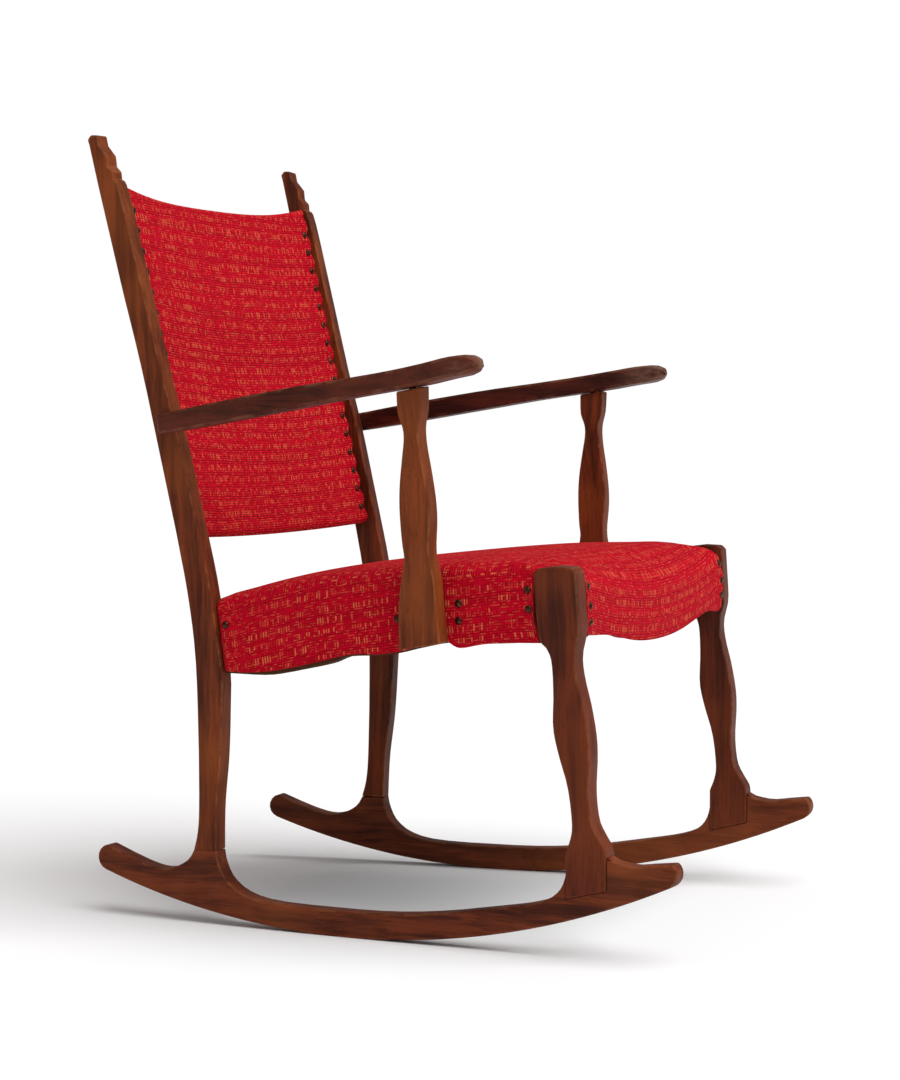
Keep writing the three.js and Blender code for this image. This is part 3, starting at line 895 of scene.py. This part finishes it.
# ---------------------------------------------------------------- seat
@dataclass
class Seat:
    """The padded seat and its cover, which hangs over the rails as an apron on every side."""

    half_width: float = 265.6
    toe: float = 0.06
    front: float = -303.0
    leg_rear: float = -247.0
    post_front: float = 168.0
    rear: float = 199.0
    apron_out: float = 2.4
    middle_half: float = 243.4
    post_widening: float = 3.0
    cloth: float = 2.4
    deck: float = 390.6
    deck_slope: float = -0.0933
    deck_inset: float = 12.0
    deck_half_width: float = 260.0
    shoulder: float = 11.0
    front_shoulder: float = 20.0
    tight_shoulder: float = 3.5
    crest: float = 5.0
    dip: float = 13.0
    fall: float = 3.0
    sag: float = 16.0
    sag_half_width: float = 262.0
    softness: float = 1.6
    waviness: float = 0.7
    rear_hem: float = 318.0
    tucked_under: float = 26.0
    row: float = 6.0
    flank_rows: int = 50
    columns: int = 57
    apron_columns: int = 6
    drop_rows: int = 10
    settling: tuple[float, float] = (-0.6, 3.0)
    settling_frames: int = 18
    profile: tuple = (
        (-303, 434.5), (-290, 442), (-275, 445.5), (-245, 446), (-190, 445.5), (-107, 441), (-37, 434.5),
        (49, 424), (116, 411), (168, 398), (199, 391),
    )
    side_hem: tuple = (
        (-256, 357), (-180, 352), (-158, 347.5), (-149, 346.5), (-140, 354), (-95, 345), (-60, 337),
        (-8, 334), (20, 327), (60, 317.5), (100, 310), (135, 307.5), (170, 308),
    )
    front_hem: tuple = (
        (-262, 366), (-250, 364.5), (-236, 363.5), (-218, 362.5), (-195, 361), (-150, 355), (-90, 346.5),
        (0, 342), (90, 346.5), (150, 355), (195, 361.5), (218, 361), (236, 358.5), (250, 359.5), (262, 363),
    )
    leg_pull_from: float = -222.0
    leg_clearance: float = 0.4
    post_pull_from: float = 138.0
    post_clearance: float = -0.5
    leg_edge: tuple = (
        (355, -256.5), (368, -253.0), (380, -251.4), (390, -250.3), (405, -249.1), (423, -248.1),
        (436, -247.4),
    )
    post_edge: tuple = (
        (305, 159.5), (319, 161.2), (341, 164.9), (357, 166.2), (373, 168.5), (399, 172.4), (418, 175.8),
    )
    side_nails: tuple = ((-153, 399), (-153, 379), (-75, 379), (-239, 417), (-241, 395), (157, 364))
    front_nails: tuple = ((8.0, 421), (8.0, 399), (9.0, 380))

    def middle(self, y: np.ndarray) -> np.ndarray:
        """Half width of the strip between the legs and between the posts."""
        return self.middle_half - self.toe * y + self.post_widening * smoothstep(120, 165, y)

    def side(self, y: np.ndarray) -> np.ndarray:
        """Half width to the outside of the side aprons."""
        return self.half_width - self.toe * y + self.apron_out

    def deck_at(self, y: np.ndarray) -> np.ndarray:
        """Height of the webbing under the pad."""
        return self.deck + self.deck_slope * y

    def crown(self, x: np.ndarray, y: np.ndarray) -> np.ndarray:
        """Height of the seat's top, before its shoulders are rounded.

        Args:
            x: Across.
            y: To the rear.

        Returns:
            The height.
        """
        across = np.clip(np.abs(x) / self.side(y), 0, 1)
        arch = 1 - across**2
        crest = self.crest * arch * smoothstep(self.front, -120, y)
        crest = crest * (1 - 0.6 * smoothstep(60, self.rear, y))
        hang = self.dip * arch * (1 - smoothstep(-300, -225, y))
        fall = self.fall * smoothstep(0.55, 1.0, across) * smoothstep(-250, -150, y)
        return through(self.profile, y) + crest - hang - fall

    def lines(self) -> tuple[np.ndarray, np.ndarray]:
        """Spaces the lines of the top's grid, which close up towards its front and rear edges.

        Returns:
            Places of the columns, as shares of the middle strip, and of the rows in y.
        """
        turn = np.linspace(0, math.pi / 2, 7)
        nose = self.front + 15.0 * (1 - np.cos(turn))
        heel = self.rear - 10.0 * (1 - np.cos(turn[::-1]))
        body = np.arange(nose[-1] + self.row, self.leg_rear - 2, self.row)
        flank = np.linspace(self.leg_rear, self.post_front, self.flank_rows)
        tail = np.linspace(self.post_front, heel[0], 5)[1:-1]
        return np.linspace(-1, 1, self.columns), np.concatenate([nose, body, flank, tail, heel])

    def layout(self) -> tuple[np.ndarray, list[tuple[int, ...]]]:
        """Lays out the top, which is wider between the legs and the arm posts.

        Returns:
            Its points in plan and its faces.
        """
        columns, rows = self.lines()
        outwards = np.cos(np.linspace(math.pi / 2, 0, self.apron_columns))
        index: dict[tuple[int, int], int] = {}
        points: list[tuple[float, float]] = []
        spare = len(outwards) - 1
        for j, y in enumerate(rows):
            half = float(self.middle(y))
            xs = {i + spare: c * half for i, c in enumerate(columns)}
            if self.leg_rear <= y <= self.post_front + 1e-6:
                outer = float(self.side(y))
                for k in range(1, len(outwards)):
                    reach = half + (outer - half) * outwards[k]
                    xs[spare - k] = -reach
                    xs[spare + len(columns) - 1 + k] = reach
            for i, x in xs.items():
                index[(i, j)] = len(points)
                points.append((x, float(y)))
        faces = [
            (index[(i, j)], index[(i + 1, j)], index[(i + 1, j + 1)], index[(i, j + 1)])
            for (i, j) in index
            if all(key in index for key in ((i + 1, j), (i + 1, j + 1), (i, j + 1)))
        ]
        return np.array(points), faces

    def rim(self, faces: list[tuple[int, ...]]) -> list[int]:
        """The points round the edge of the top, in order.

        Args:
            faces: The top's faces.

        Returns:
            Indices of the points, once each.
        """
        sides = {(a, b) for f in faces for a, b in zip(f, f[1:] + f[:1])}
        following = {a: b for a, b in sides if (b, a) not in sides}
        start = next(iter(following))
        loop = [start]
        while following[loop[-1]] != start:
            loop.append(following[loop[-1]])
        return loop

    def hem_at(self, x: float, y: float) -> float:
        """Height of the cover's lower edge below a point of its rim.

        Args:
            x: Across.
            y: To the rear.

        Returns:
            The height.
        """
        if y <= self.front + 0.5:
            return float(through(self.front_hem, np.array(x)))
        if y >= self.rear - 0.5:
            return self.rear_hem
        if abs(x) > float(self.middle(y)) + 1.0:
            return float(through(self.side_hem, np.array(y)))
        return float(self.deck_at(y)) - self.tucked_under

    def cover(self) -> tuple[bpy.types.Mesh, int]:
        """Makes the cover's closed mesh: its rounded top, and a drop of points from every point of its rim.

        Returns:
            The mesh, and how many of its points lie on the top.
        """
        plan, faces = self.layout()
        loop = self.rim(faces)
        ring = plan[loop]
        ahead = np.roll(ring, -1, axis=0) - np.roll(ring, 1, axis=0)
        ahead /= np.linalg.norm(ahead, axis=1)[:, None]
        outward = np.stack([ahead[:, 1], -ahead[:, 0]], axis=1)
        distance, nearest = self.rim_distance(plan, ring)
        radius = self.shoulder_at(ring)[nearest]
        bend = np.arcsin(np.clip(1 - distance / radius, 0, 1))
        z = self.crown(plan[:, 0], plan[:, 1]) - radius * (1 - np.cos(bend))
        outer = [np.column_stack([plan, z])]
        spread = outward[nearest] * (radius * (bend - np.sin(bend)))[:, None]
        flat = [np.column_stack([plan[:, 0], self.cloth_y(plan)]) + spread]
        all_faces = list(faces)
        count = len(plan)
        before = list(loop)
        top = z[loop]
        hems = np.array([self.hem_at(*p) for p in ring])
        for k in range(1, self.drop_rows + 1):
            share = k / self.drop_rows
            level = top + (hems - top) * share
            bulge = self.apron_bulge(ring, share)
            points = ring + outward * bulge[:, None]
            outer.append(np.column_stack([points, level]))
            flat.append(flat[0][loop] + outward * (top - level)[:, None])
            here = list(range(count, count + len(loop)))
            for a in range(len(loop)):
                b = (a + 1) % len(loop)
                all_faces.append((before[b], before[a], here[a], here[b]))
            before = here
            count += len(loop)
        outer_points = self.closed_up(np.vstack(outer))
        inner_points = self.inside(outer_points, len(plan), outward)
        beyond = np.abs(outer_points[:, 0]) > self.middle(outer_points[:, 1]) + 1.0
        turned = [n for n, face in enumerate(all_faces) if n >= len(faces) and all(beyond[i] for i in face)]
        mesh = closed_sheet(
            "seat_cushion",
            to_metres(outer_points),
            to_metres(inner_points),
            all_faces,
            np.vstack(flat) * MM,
            turned,
        )
        return mesh, len(plan)

    def build(self, material: bpy.types.Material, nails: NailRows) -> bpy.types.Object:
        """Makes the padded seat and sets its nails.

        Args:
            material: The wool.
            nails: Where the nails are collected.

        Returns:
            The piece.
        """
        mesh, top_count = self.cover()
        piece = new_piece("seat_cushion", mesh)
        self.relax(piece, top_count)
        dress(piece, material)
        piece.data.shade_smooth()
        subdivision = piece.modifiers.new("round", "SUBSURF")
        subdivision.levels = 1
        subdivision.render_levels = 1
        settled(piece)
        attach(piece, ROOT)
        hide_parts("seat_cover", "seat_pad")
        self.set_nails(piece, nails)
        log.info("%s: %d faces", piece.name, len(piece.data.polygons))
        return piece

    def closed_up(self, points: np.ndarray) -> np.ndarray:
        """Draws the ends of the side aprons up to the slanting edges of the legs and posts.

        Args:
            points: The outer points.

        Returns:
            The moved points.
        """
        moved = points.copy()
        x, y, z = points.T
        beside = np.abs(x) > self.middle(y) + 0.5
        at_leg = (self.leg_edge, self.leg_rear, self.leg_pull_from, self.leg_clearance)
        at_post = (self.post_edge, self.post_front, self.post_pull_from, self.post_clearance)
        for edge, end, far, gap in (at_leg, at_post):
            target = np.interp(z, *np.array(edge).T) + gap
            near = np.clip((y - far) / (end - far), 0.0, 1.0)
            near = np.where((y - end) * (end - far) > 1e-6, 0.0, near)
            moved[:, 1] += np.where(beside, (target - end) * near, 0.0)
        return moved

    def shoulder_at(self, ring: np.ndarray) -> np.ndarray:
        """Radius of the rounded shoulder along the rim: wide in front, tight against legs and posts.

        Args:
            ring: The rim's points in plan.

        Returns:
            The radius at each.
        """
        y = ring[:, 1]
        beside_legs = (y < self.leg_rear + 1) & (y > self.front + 1)
        beside_posts = (y > self.post_front - 1) & (y < self.rear - 1)
        wide = np.where(y <= self.front + 1, self.front_shoulder, self.shoulder)
        return np.where(beside_legs | beside_posts, self.tight_shoulder, wide)

    def rim_distance(self, plan: np.ndarray, ring: np.ndarray) -> tuple[np.ndarray, np.ndarray]:
        """Measures how far in from the rim each point lies.

        Args:
            plan: The points in plan.
            ring: The rim's points in plan.

        Returns:
            Each point's distance, and the number of its nearest stretch of the rim.
        """
        distance = np.full(len(plan), 1e9)
        number = np.zeros(len(plan), int)
        for k, (p, q) in enumerate(zip(ring, np.roll(ring, -1, axis=0))):
            along = q - p
            t = np.clip(((plan - p) @ along) / (along @ along), 0, 1)
            gap = np.linalg.norm(plan - (p + t[:, None] * along), axis=1)
            number = np.where(gap < distance, k, number)
            distance = np.minimum(distance, gap)
        return distance, number

    def cloth_y(self, plan: np.ndarray) -> np.ndarray:
        """Place along the flat cloth, whose ribs hang a little at the front edge's middle."""
        across = plan[:, 0] / self.sag_half_width
        sag = self.sag * (1 - across**2) * (1 - smoothstep(self.front, -200, plan[:, 1]))
        return plan[:, 1] + sag

    def apron_bulge(self, ring: np.ndarray, share: float) -> np.ndarray:
        """How far a row of the apron stands out from the rim: soft in the middle, tucked at the hem.

        Args:
            ring: The rim's points in plan.
            share: How far down the apron the row lies, from 0 to 1.

        Returns:
            The distance at each point.
        """
        soft = self.softness * math.sin(math.pi * min(share * 1.15, 1.0))
        wave = self.waviness * np.sin(ring[:, 1] / 17.0 + ring[:, 0] / 23.0) * share * (1 - share) * 4
        free = (ring[:, 1] < self.leg_rear - 1) & (ring[:, 1] > self.front + 1)
        tight = free | (ring[:, 1] > self.post_front - 1)
        return np.where(tight, 0.0, soft + wave)

    def inside(self, outer: np.ndarray, top_count: int, outward: np.ndarray) -> np.ndarray:
        """The inner surface: level with the webbing under the top, and a cloth's thickness in at the aprons.

        Args:
            outer: The outer points.
            top_count: How many of them lie on the top.
            outward: The rim's outward directions.

        Returns:
            The inner points, in the same order.
        """
        inner = outer.copy()
        top = inner[:top_count]
        top[:, 2] = self.deck_at(top[:, 1])
        centre_y = (self.front + self.rear) / 2
        half_depth = (self.rear - self.front) / 2
        top[:, 0] *= 1 - self.deck_inset / self.deck_half_width
        top[:, 1] = centre_y + (top[:, 1] - centre_y) * (1 - self.deck_inset / half_depth)
        for k in range(self.drop_rows):
            start = top_count + k * len(outward)
            rows = inner[start: start + len(outward)]
            deck = self.deck_at(rows[:, 1])
            above = np.clip(rows[:, 2] - deck, 0, None)
            inset = self.cloth + np.clip(above, 0, 60) * 0.12
            rows[:, :2] -= outward * inset[:, None]
            rows[:, 2] = np.minimum(rows[:, 2], deck - 0.02 * (k + 1))
        return inner

    def relax(self, piece: bpy.types.Object, top_count: int) -> None:
        """Lets the stretched cloth settle over its padding by simulation, with its hems and nails held.

        Args:
            piece: The seat, still without subdivision.
            top_count: How many points lie on the top.
        """
        mesh = piece.data
        rest = np.empty(len(mesh.vertices) * 3)
        mesh.vertices.foreach_get("co", rest)
        rest = rest.reshape(-1, 3)
        pins = piece.vertex_groups.new(name="held")
        pins.add(list(range(top_count, len(rest))), 1.0, "REPLACE")
        cloth = piece.modifiers.new("settle", "CLOTH")
        cloth.settings.quality = 6
        cloth.settings.mass = 0.3
        cloth.settings.tension_stiffness = 12
        cloth.settings.compression_stiffness = 8
        cloth.settings.bending_stiffness = 0.6
        cloth.settings.use_pressure = True
        cloth.settings.uniform_pressure_force = 3.5
        cloth.settings.vertex_group_mass = "held"
        cloth.settings.effector_weights.gravity = 0.0
        cloth.point_cache.frame_start = 1
        cloth.point_cache.frame_end = self.settling_frames + 2
        scene = bpy.context.scene
        for step in range(1, self.settling_frames + 1):
            scene.frame_set(step)
        graph = bpy.context.evaluated_depsgraph_get()
        moved = piece.evaluated_get(graph).to_mesh()
        after = np.empty(len(mesh.vertices) * 3)
        moved.vertices.foreach_get("co", after)
        piece.evaluated_get(graph).to_mesh_clear()
        after = after.reshape(-1, 3)
        piece.modifiers.clear()
        scene.frame_set(1)
        facing = np.array([tuple(vertex.normal) for vertex in mesh.vertices])
        lift = np.sum((after - rest) * facing, axis=1)
        kept = np.clip(lift, *(v * MM for v in self.settling))
        mesh.vertices.foreach_set("co", (rest + facing * kept[:, None]).ravel())
        mesh.update()
        log.info("seat cloth lifted by up to %.1f mm, of which %.1f kept", lift.max() / MM, kept.max() / MM)

    def set_nails(self, piece: bpy.types.Object, nails: NailRows) -> None:
        """Sets the seat's nails where straight lines from outside meet the cloth.

        Args:
            piece: The finished seat.
            nails: Where the nails are collected.
        """
        graph = bpy.context.evaluated_depsgraph_get()
        seen = piece.evaluated_get(graph)
        beside, ahead = 400.0, -450.0
        aims = []
        for sign in SIDES.values():
            for y, z in self.side_nails:
                aims.append(((sign * beside, y, z), (-sign, 0.0, 0.0)))
            for inset, z in self.front_nails:
                x = sign * (float(self.middle(np.array(self.front))) - inset)
                aims.append(((x, ahead, z), (0.0, 1.0, 0.0)))
        for start, way in aims:
            hit, point, normal, _ = seen.ray_cast(Vector(to_metres(np.array(start))), Vector(way))
            if hit:
                nails.add(point, normal)


# ---------------------------------------------------------------- back
@dataclass
class Back:
    """The padded back: a cover nailed down both posts' edges and drawn over the rails at top and foot."""

    foot_y: float = 198.0
    foot_z: float = 469.0
    rake: float = math.atan(0.243)
    height: float = 427.0
    ears: float = 14.5
    cant: float = 2.0
    foot_thinning: float = 3.5
    half_low: float = 242.4
    half_high: float = 249.4
    hollow: float = 10.0
    proud: float = 3.4
    padding: float = 2.0
    scallop: float = 2.4
    dimple: float = 1.4
    roll: float = 6.5
    roll_reach: float = 9.0
    rear_margin: float = 2.5
    rear_depth: float = 24.6
    rear_cloth: float = 1.6
    cushion_columns: int = 70
    cushion_rows: int = 150
    nail_pitch: float = 25.6
    nail_count: int = 16
    nail_first: float = 22.0
    nail_inset: tuple = (("left", 11.0), ("right", 13.0))

    def half(self, h: np.ndarray) -> np.ndarray:
        """Half width at a height up the panel."""
        return self.half_low + (self.half_high - self.half_low) * h / self.height

    def placed(self, x: np.ndarray, depth: np.ndarray, h: np.ndarray) -> np.ndarray:
        """Panel places as drawing-frame points.

        Args:
            x: Across.
            depth: Behind the front of the posts.
            h: Up the rake.

        Returns:
            Points.
        """
        y = self.foot_y + depth * math.cos(self.rake) + h * math.sin(self.rake)
        z = self.foot_z - depth * math.sin(self.rake) + h * math.cos(self.rake)
        return np.stack([x, y, z], axis=-1)

    def top_at(self, share: np.ndarray) -> np.ndarray:
        """Height of the panel's top edge, whose corners rise to the posts."""
        return self.height + self.ears * np.abs(share) ** 3.2 + self.cant * share

    def front_face(self, across: np.ndarray, up: np.ndarray) -> tuple[np.ndarray, ...]:
        """The padded front of the panel.

        Args:
            across: Shares of the half width, -1 to 1.
            up: Shares of the height, 0 to 1.

        Returns:
            x, depth and height of each point.
        """
        top = self.top_at(across)
        foot = -2.5 * (1 - across**2)
        h = foot + (top - foot) * up
        pull = np.abs(np.sin(math.pi * (h - self.nail_first) / self.nail_pitch))
        edge = smoothstep(0.955, 1.0, np.abs(across))
        x = across * (self.half(h) - 0.8 + self.scallop * pull * edge)
        depth = -self.proud + self.hollow * (1 - across**2) + self.foot_thinning * (1 - up)
        depth = depth - self.padding * (1 - across**4) * np.sin(math.pi * np.clip(up, 0, 1))
        roll = 1 - np.minimum(np.minimum(up, 1 - up) * self.height / self.roll_reach, 1.0)
        depth = depth + self.roll * (1 - np.sqrt(1 - np.clip(roll, 0, 1) ** 2))
        tuck = smoothstep(0.985, 1.0, np.abs(across)) * (0.8 + 1.8 * (1 - pull)) - 1.8 * pull * edge
        near = np.exp(-(((1 - np.abs(across)) * 246 - 10.0) / 6.0) ** 2)
        return x, depth + tuck + self.dimple * near * (1 - pull) ** 2, h

    def build(self, material: bpy.types.Material, nails: NailRows) -> list[bpy.types.Object]:
        """Makes the padded front and the rear cover, and sets their nails.

        Args:
            material: The wool.
            nails: Where the nails are collected.

        Returns:
            The pieces.
        """
        pieces = [self.cushion(material), self.rear_cover(material)]
        self.set_nails(nails)
        return pieces

    def cushion(self, material: bpy.types.Material) -> bpy.types.Object:
        """Makes the padded front panel, with its cover drawn round the top and the foot.

        Args:
            material: The wool.

        Returns:
            The piece.
        """
        edge = 0.05 * (np.sin(np.linspace(-math.pi / 2, math.pi / 2, 15)) + 1) / 2
        middle = np.linspace(-0.95, 0.95, self.cushion_columns)
        columns = np.concatenate([edge[:-1] - 1, middle, 0.95 + edge[1:]])
        lip = 0.022 * (1 - np.cos(np.linspace(0, math.pi / 2, 7)))
        rows = np.concatenate([lip, np.linspace(0.024, 0.976, self.cushion_rows), 1 - lip[::-1]])
        across, up, faces = grid(columns, rows)
        x, depth, h = self.front_face(across, up)
        outer = self.placed(x, depth, h)
        behind = self.hollow * (1 - across**2) + 10.2
        inner = self.placed(x * 0.999, behind, np.clip(h, 0.4, None))
        flat = np.column_stack([x, h + 9.0 * (1 - across**2) * np.sin(math.pi * up)]) * MM
        mesh = closed_sheet("back_cushion", to_metres(outer), to_metres(inner), faces, flat)
        piece = new_piece("back_cushion", mesh)
        dress(piece, material)
        piece.data.shade_smooth()
        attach(piece, ROOT)
        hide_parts("back_cover_front", "back_pad")
        log.info("%s: %d faces", piece.name, len(mesh.polygons))
        return piece

    def rear_cover(self, material: bpy.types.Material) -> bpy.types.Object:
        """Makes the stretched sheet over the back of the panel.

        Args:
            material: The wool.

        Returns:
            The piece.
        """
        across, up, faces = grid(np.linspace(-1, 1, 61), np.linspace(0, 1, 81))
        top = self.top_at(across) - self.rear_margin
        h = self.rear_margin + (top - self.rear_margin) * up
        x = across * (self.half(h) - self.rear_margin)
        sink = self.padding * (1 - across**4) * np.sin(math.pi * up)
        depth = self.hollow * (1 - across**2) + self.rear_depth - sink
        outer = self.placed(x, depth, h)
        inner = self.placed(x, depth - self.rear_cloth, h)
        turned = [tuple(reversed(face)) for face in faces]
        flat = np.column_stack([x, h]) * MM
        mesh = closed_sheet("back_rear_cover", to_metres(outer), to_metres(inner), turned, flat)
        piece = new_piece("back_rear_cover", mesh)
        dress(piece, material)
        piece.data.shade_smooth()
        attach(piece, ROOT)
        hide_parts("back_cover_rear")
        log.info("%s: %d faces", piece.name, len(mesh.polygons))
        return piece

    def set_nails(self, nails: NailRows) -> None:
        """Sets a nail at each pull of the cover's edges, in front.

        Args:
            nails: Where the nails are collected.
        """
        facing = np.array([0.0, -math.cos(self.rake), math.sin(self.rake)])
        for side, inset in self.nail_inset:
            for k in range(self.nail_count):
                h = self.nail_first + k * self.nail_pitch
                x = SIDES[side] * (self.half(np.array(h)) - inset)
                depth = -2.4 + self.foot_thinning * (1 - h / self.height)
                point = self.placed(np.array(x), np.array(depth), np.array(h))
                nails.add(to_metres(point), facing)


# ---------------------------------------------------------------- studio
@dataclass
class Studio:
    """Camera, broad sun, white sky and the pale floor."""

    azimuth: float = -67.21
    elevation: float = 2.62
    roll: float = -0.10
    eye: tuple[float, float, float] = (-3071.4, -1316.2, 610.2)
    focal: float = 88.33
    sensor: float = 36.0
    pale: tuple[float, float, float, float] = (0.95, 0.95, 0.95, 1.0)
    floor_reach: float = 30.0
    glow: float = 0.35
    sun_from: tuple[float, float, float] = (-0.25, -1.0, 1.7)
    sun_power: float = 2.9
    sun_breadth: float = 60.0

    def build(self) -> None:
        """Sets up the whole studio."""
        self.camera()
        self.floor()
        self.sun()
        self.sky()
        bpy.context.scene.view_settings.view_transform = "Standard"

    def camera(self) -> None:
        """Stands the camera where it looks at the chair from the right front."""
        turn, rise, roll = (math.radians(v) for v in (self.azimuth, self.elevation, self.roll))
        ahead = Vector((-math.sin(turn) * math.cos(rise), math.cos(turn) * math.cos(rise), -math.sin(rise)))
        level = Vector((math.cos(turn), math.sin(turn), 0.0))
        upright = level.cross(ahead)
        right = level * math.cos(roll) + upright * math.sin(roll)
        up = upright * math.cos(roll) - level * math.sin(roll)
        data = bpy.data.cameras.new("camera")
        data.lens = self.focal
        data.sensor_width = self.sensor
        data.clip_end = 100.0
        camera = bpy.data.objects.new("camera", data)
        bpy.context.collection.objects.link(camera)
        pose = Matrix((right, up, -ahead)).transposed().to_4x4()
        pose.translation = Vector(to_metres(np.array(self.eye)))
        camera.matrix_world = pose
        bpy.context.scene.camera = camera

    def floor(self) -> None:
        """Lays a large pale floor under the runners."""
        mesh = bpy.data.meshes.new("floor")
        turns = ((-1, -1), (1, -1), (1, 1), (-1, 1))
        corners = [(x * self.floor_reach, y * self.floor_reach, 0.0) for x, y in turns]
        mesh.from_pydata(corners, [], [(0, 1, 2, 3)])
        floor = new_piece("floor", mesh)
        graph = Graph("pale_floor")
        graph.shader.inputs["Base Color"].default_value = self.pale
        graph.shader.inputs["Roughness"].default_value = 0.9
        dress(floor, graph.material)

    def sky(self) -> None:
        """Surrounds the chair with a soft white glow, seen at full white behind it."""
        world = bpy.data.worlds.new("studio")
        world.use_nodes = True
        nodes, links = world.node_tree.nodes, world.node_tree.links
        seen = nodes.new("ShaderNodeLightPath").outputs["Is Camera Ray"]
        strength = nodes.new("ShaderNodeMapRange")
        strength.inputs["To Min"].default_value = self.glow
        strength.inputs["To Max"].default_value = 1.0
        links.new(seen, strength.inputs["Value"])
        nodes["Background"].inputs["Color"].default_value = (1.0, 1.0, 1.0, 1.0)
        links.new(strength.outputs[0], nodes["Background"].inputs["Strength"])
        bpy.context.scene.world = world

    def sun(self) -> None:
        """Hangs a very broad sun in front of the chair, which lights the floor evenly."""
        data = bpy.data.lights.new("key", "SUN")
        data.energy = self.sun_power
        data.angle = math.radians(self.sun_breadth)
        key = bpy.data.objects.new("key", data)
        bpy.context.collection.objects.link(key)
        key.matrix_world = (-Vector(self.sun_from)).to_track_quat("-Z", "Y").to_matrix().to_4x4()


# ---------------------------------------------------------------- the chair
class Chair:
    """The whole chair: boards, hidden joinery, upholstery and nails."""

    def __init__(self) -> None:
        """Builds the finishes."""
        warm = {"dark": (62, 22, 8), "mid": (118, 50, 21), "light": (146, 74, 31), "rubbed": (160, 98, 56)}
        self.post = OiledWood("oiled_wood_post", Grain.ALONG_Z, **warm).build()
        self.leg = OiledWood("oiled_wood_leg", Grain.ALONG_Z).build()
        ruddy = {"dark": (56, 20, 9), "mid": (112, 49, 24), "light": (138, 70, 34), "rubbed": (150, 92, 56)}
        self.runner = OiledWood("oiled_wood_runner", Grain.ALONG_Y, **ruddy).build()
        self.arm = WornArmWood("worn_arm_wood", Grain.ALONG_Y).build()
        pale = {"dark": (46, 24, 14), "mid": (78, 46, 26), "light": (104, 66, 38), "rubbed": (118, 80, 50)}
        self.raw_long = OiledWood("raw_wood_long", Grain.ALONG_Y, roughness=0.75, **pale).build()
        self.raw_wide = OiledWood("raw_wood_wide", Grain.ALONG_X, roughness=0.75, **pale).build()
        self.wool = SlubWool().build()
        self.webbing = PlainWeave("jute_webbing", (170, 142, 100), (120, 96, 62)).build()
        self.lining = PlainWeave("dark_lining", (48, 44, 42), (30, 28, 27), 0.0010).build()
        self.steel = PlainSteel().build()
        self.brass = DarkBrass().build()

    def boards(self) -> None:
        """Softens and finishes every wooden node."""
        for side in SIDES:
            Board(f"rocker_{side}", "frame_wood", soft=2.2).build(self.runner)
            Board(f"rear_post_{side}", "frame_wood").build(self.post)
            Board(f"front_leg_{side}", "frame_wood", soft=2.0).build(self.leg)
            Board(f"arm_post_{side}", "frame_wood").build(self.post)
            Board(f"armrest_{side}", "arm_wood", soft=3.6).build(self.arm)
            Board(f"seat_rail_{side}", "inner_wood", soft=1.0).build(self.raw_long)
            for end in ("front", "rear"):
                Board(f"corner_block_{end}_{side}", "inner_wood", soft=1.0).build(self.raw_wide)
        for node in ("seat_rail_front", "seat_rail_rear", "back_rail_top", "back_rail_bottom"):
            Board(node, "inner_wood", soft=1.0).build(self.raw_wide)

    def hidden(self) -> None:
        """Finishes the CAD nodes that are shown as they are."""
        finishes = {"dowel": self.raw_long, "screw": self.steel, "strap": self.webbing}
        for name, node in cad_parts.items():
            for word, material in finishes.items():
                if word in name:
                    dress(node, material)

    def lining_sheet(self) -> None:
        """Makes the dark lining stretched under the seat, which narrows to the rear."""
        low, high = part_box("seat_lining")
        thickness, taper, slack = 0.0013, 0.104, 0.002
        across, back, upwards = grid(np.linspace(-1, 1, 41), np.linspace(0, 1, 41))
        x = across * high[0] * (1 - taper * back)
        y = low[1] + (high[1] - low[1]) * back
        z = high[2] - thickness - (high[2] - low[2] - thickness) * back
        sink = slack * (1 - across**2) * np.sin(math.pi * back)
        outer = np.column_stack([x, y, z - sink])
        inner = outer + np.array([0.0, 0.0, thickness])
        downwards = [face[:1] + face[:0:-1] for face in upwards]
        mesh = closed_sheet("seat_lining_cloth", outer, inner, downwards, np.column_stack([x, y]))
        piece = new_piece("seat_lining_cloth", mesh)
        dress(piece, self.lining)
        piece.data.shade_smooth()
        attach(piece, ROOT)
        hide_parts("seat_lining")
        log.info("%s: %d faces", piece.name, len(mesh.polygons))

    def build(self) -> None:
        """Makes the whole chair."""
        nails = NailRows()
        self.boards()
        self.hidden()
        self.lining_sheet()
        Seat().build(self.wool, nails)
        Back().build(self.wool, nails)
        nails.build(self.brass)


def main() -> None:
    """Builds the studio and the chair, and reports their pieces."""
    logging.basicConfig(level=logging.INFO, format="%(message)s")
    Studio().build()
    Chair().build()


if __name__ == "__main__":
    main()
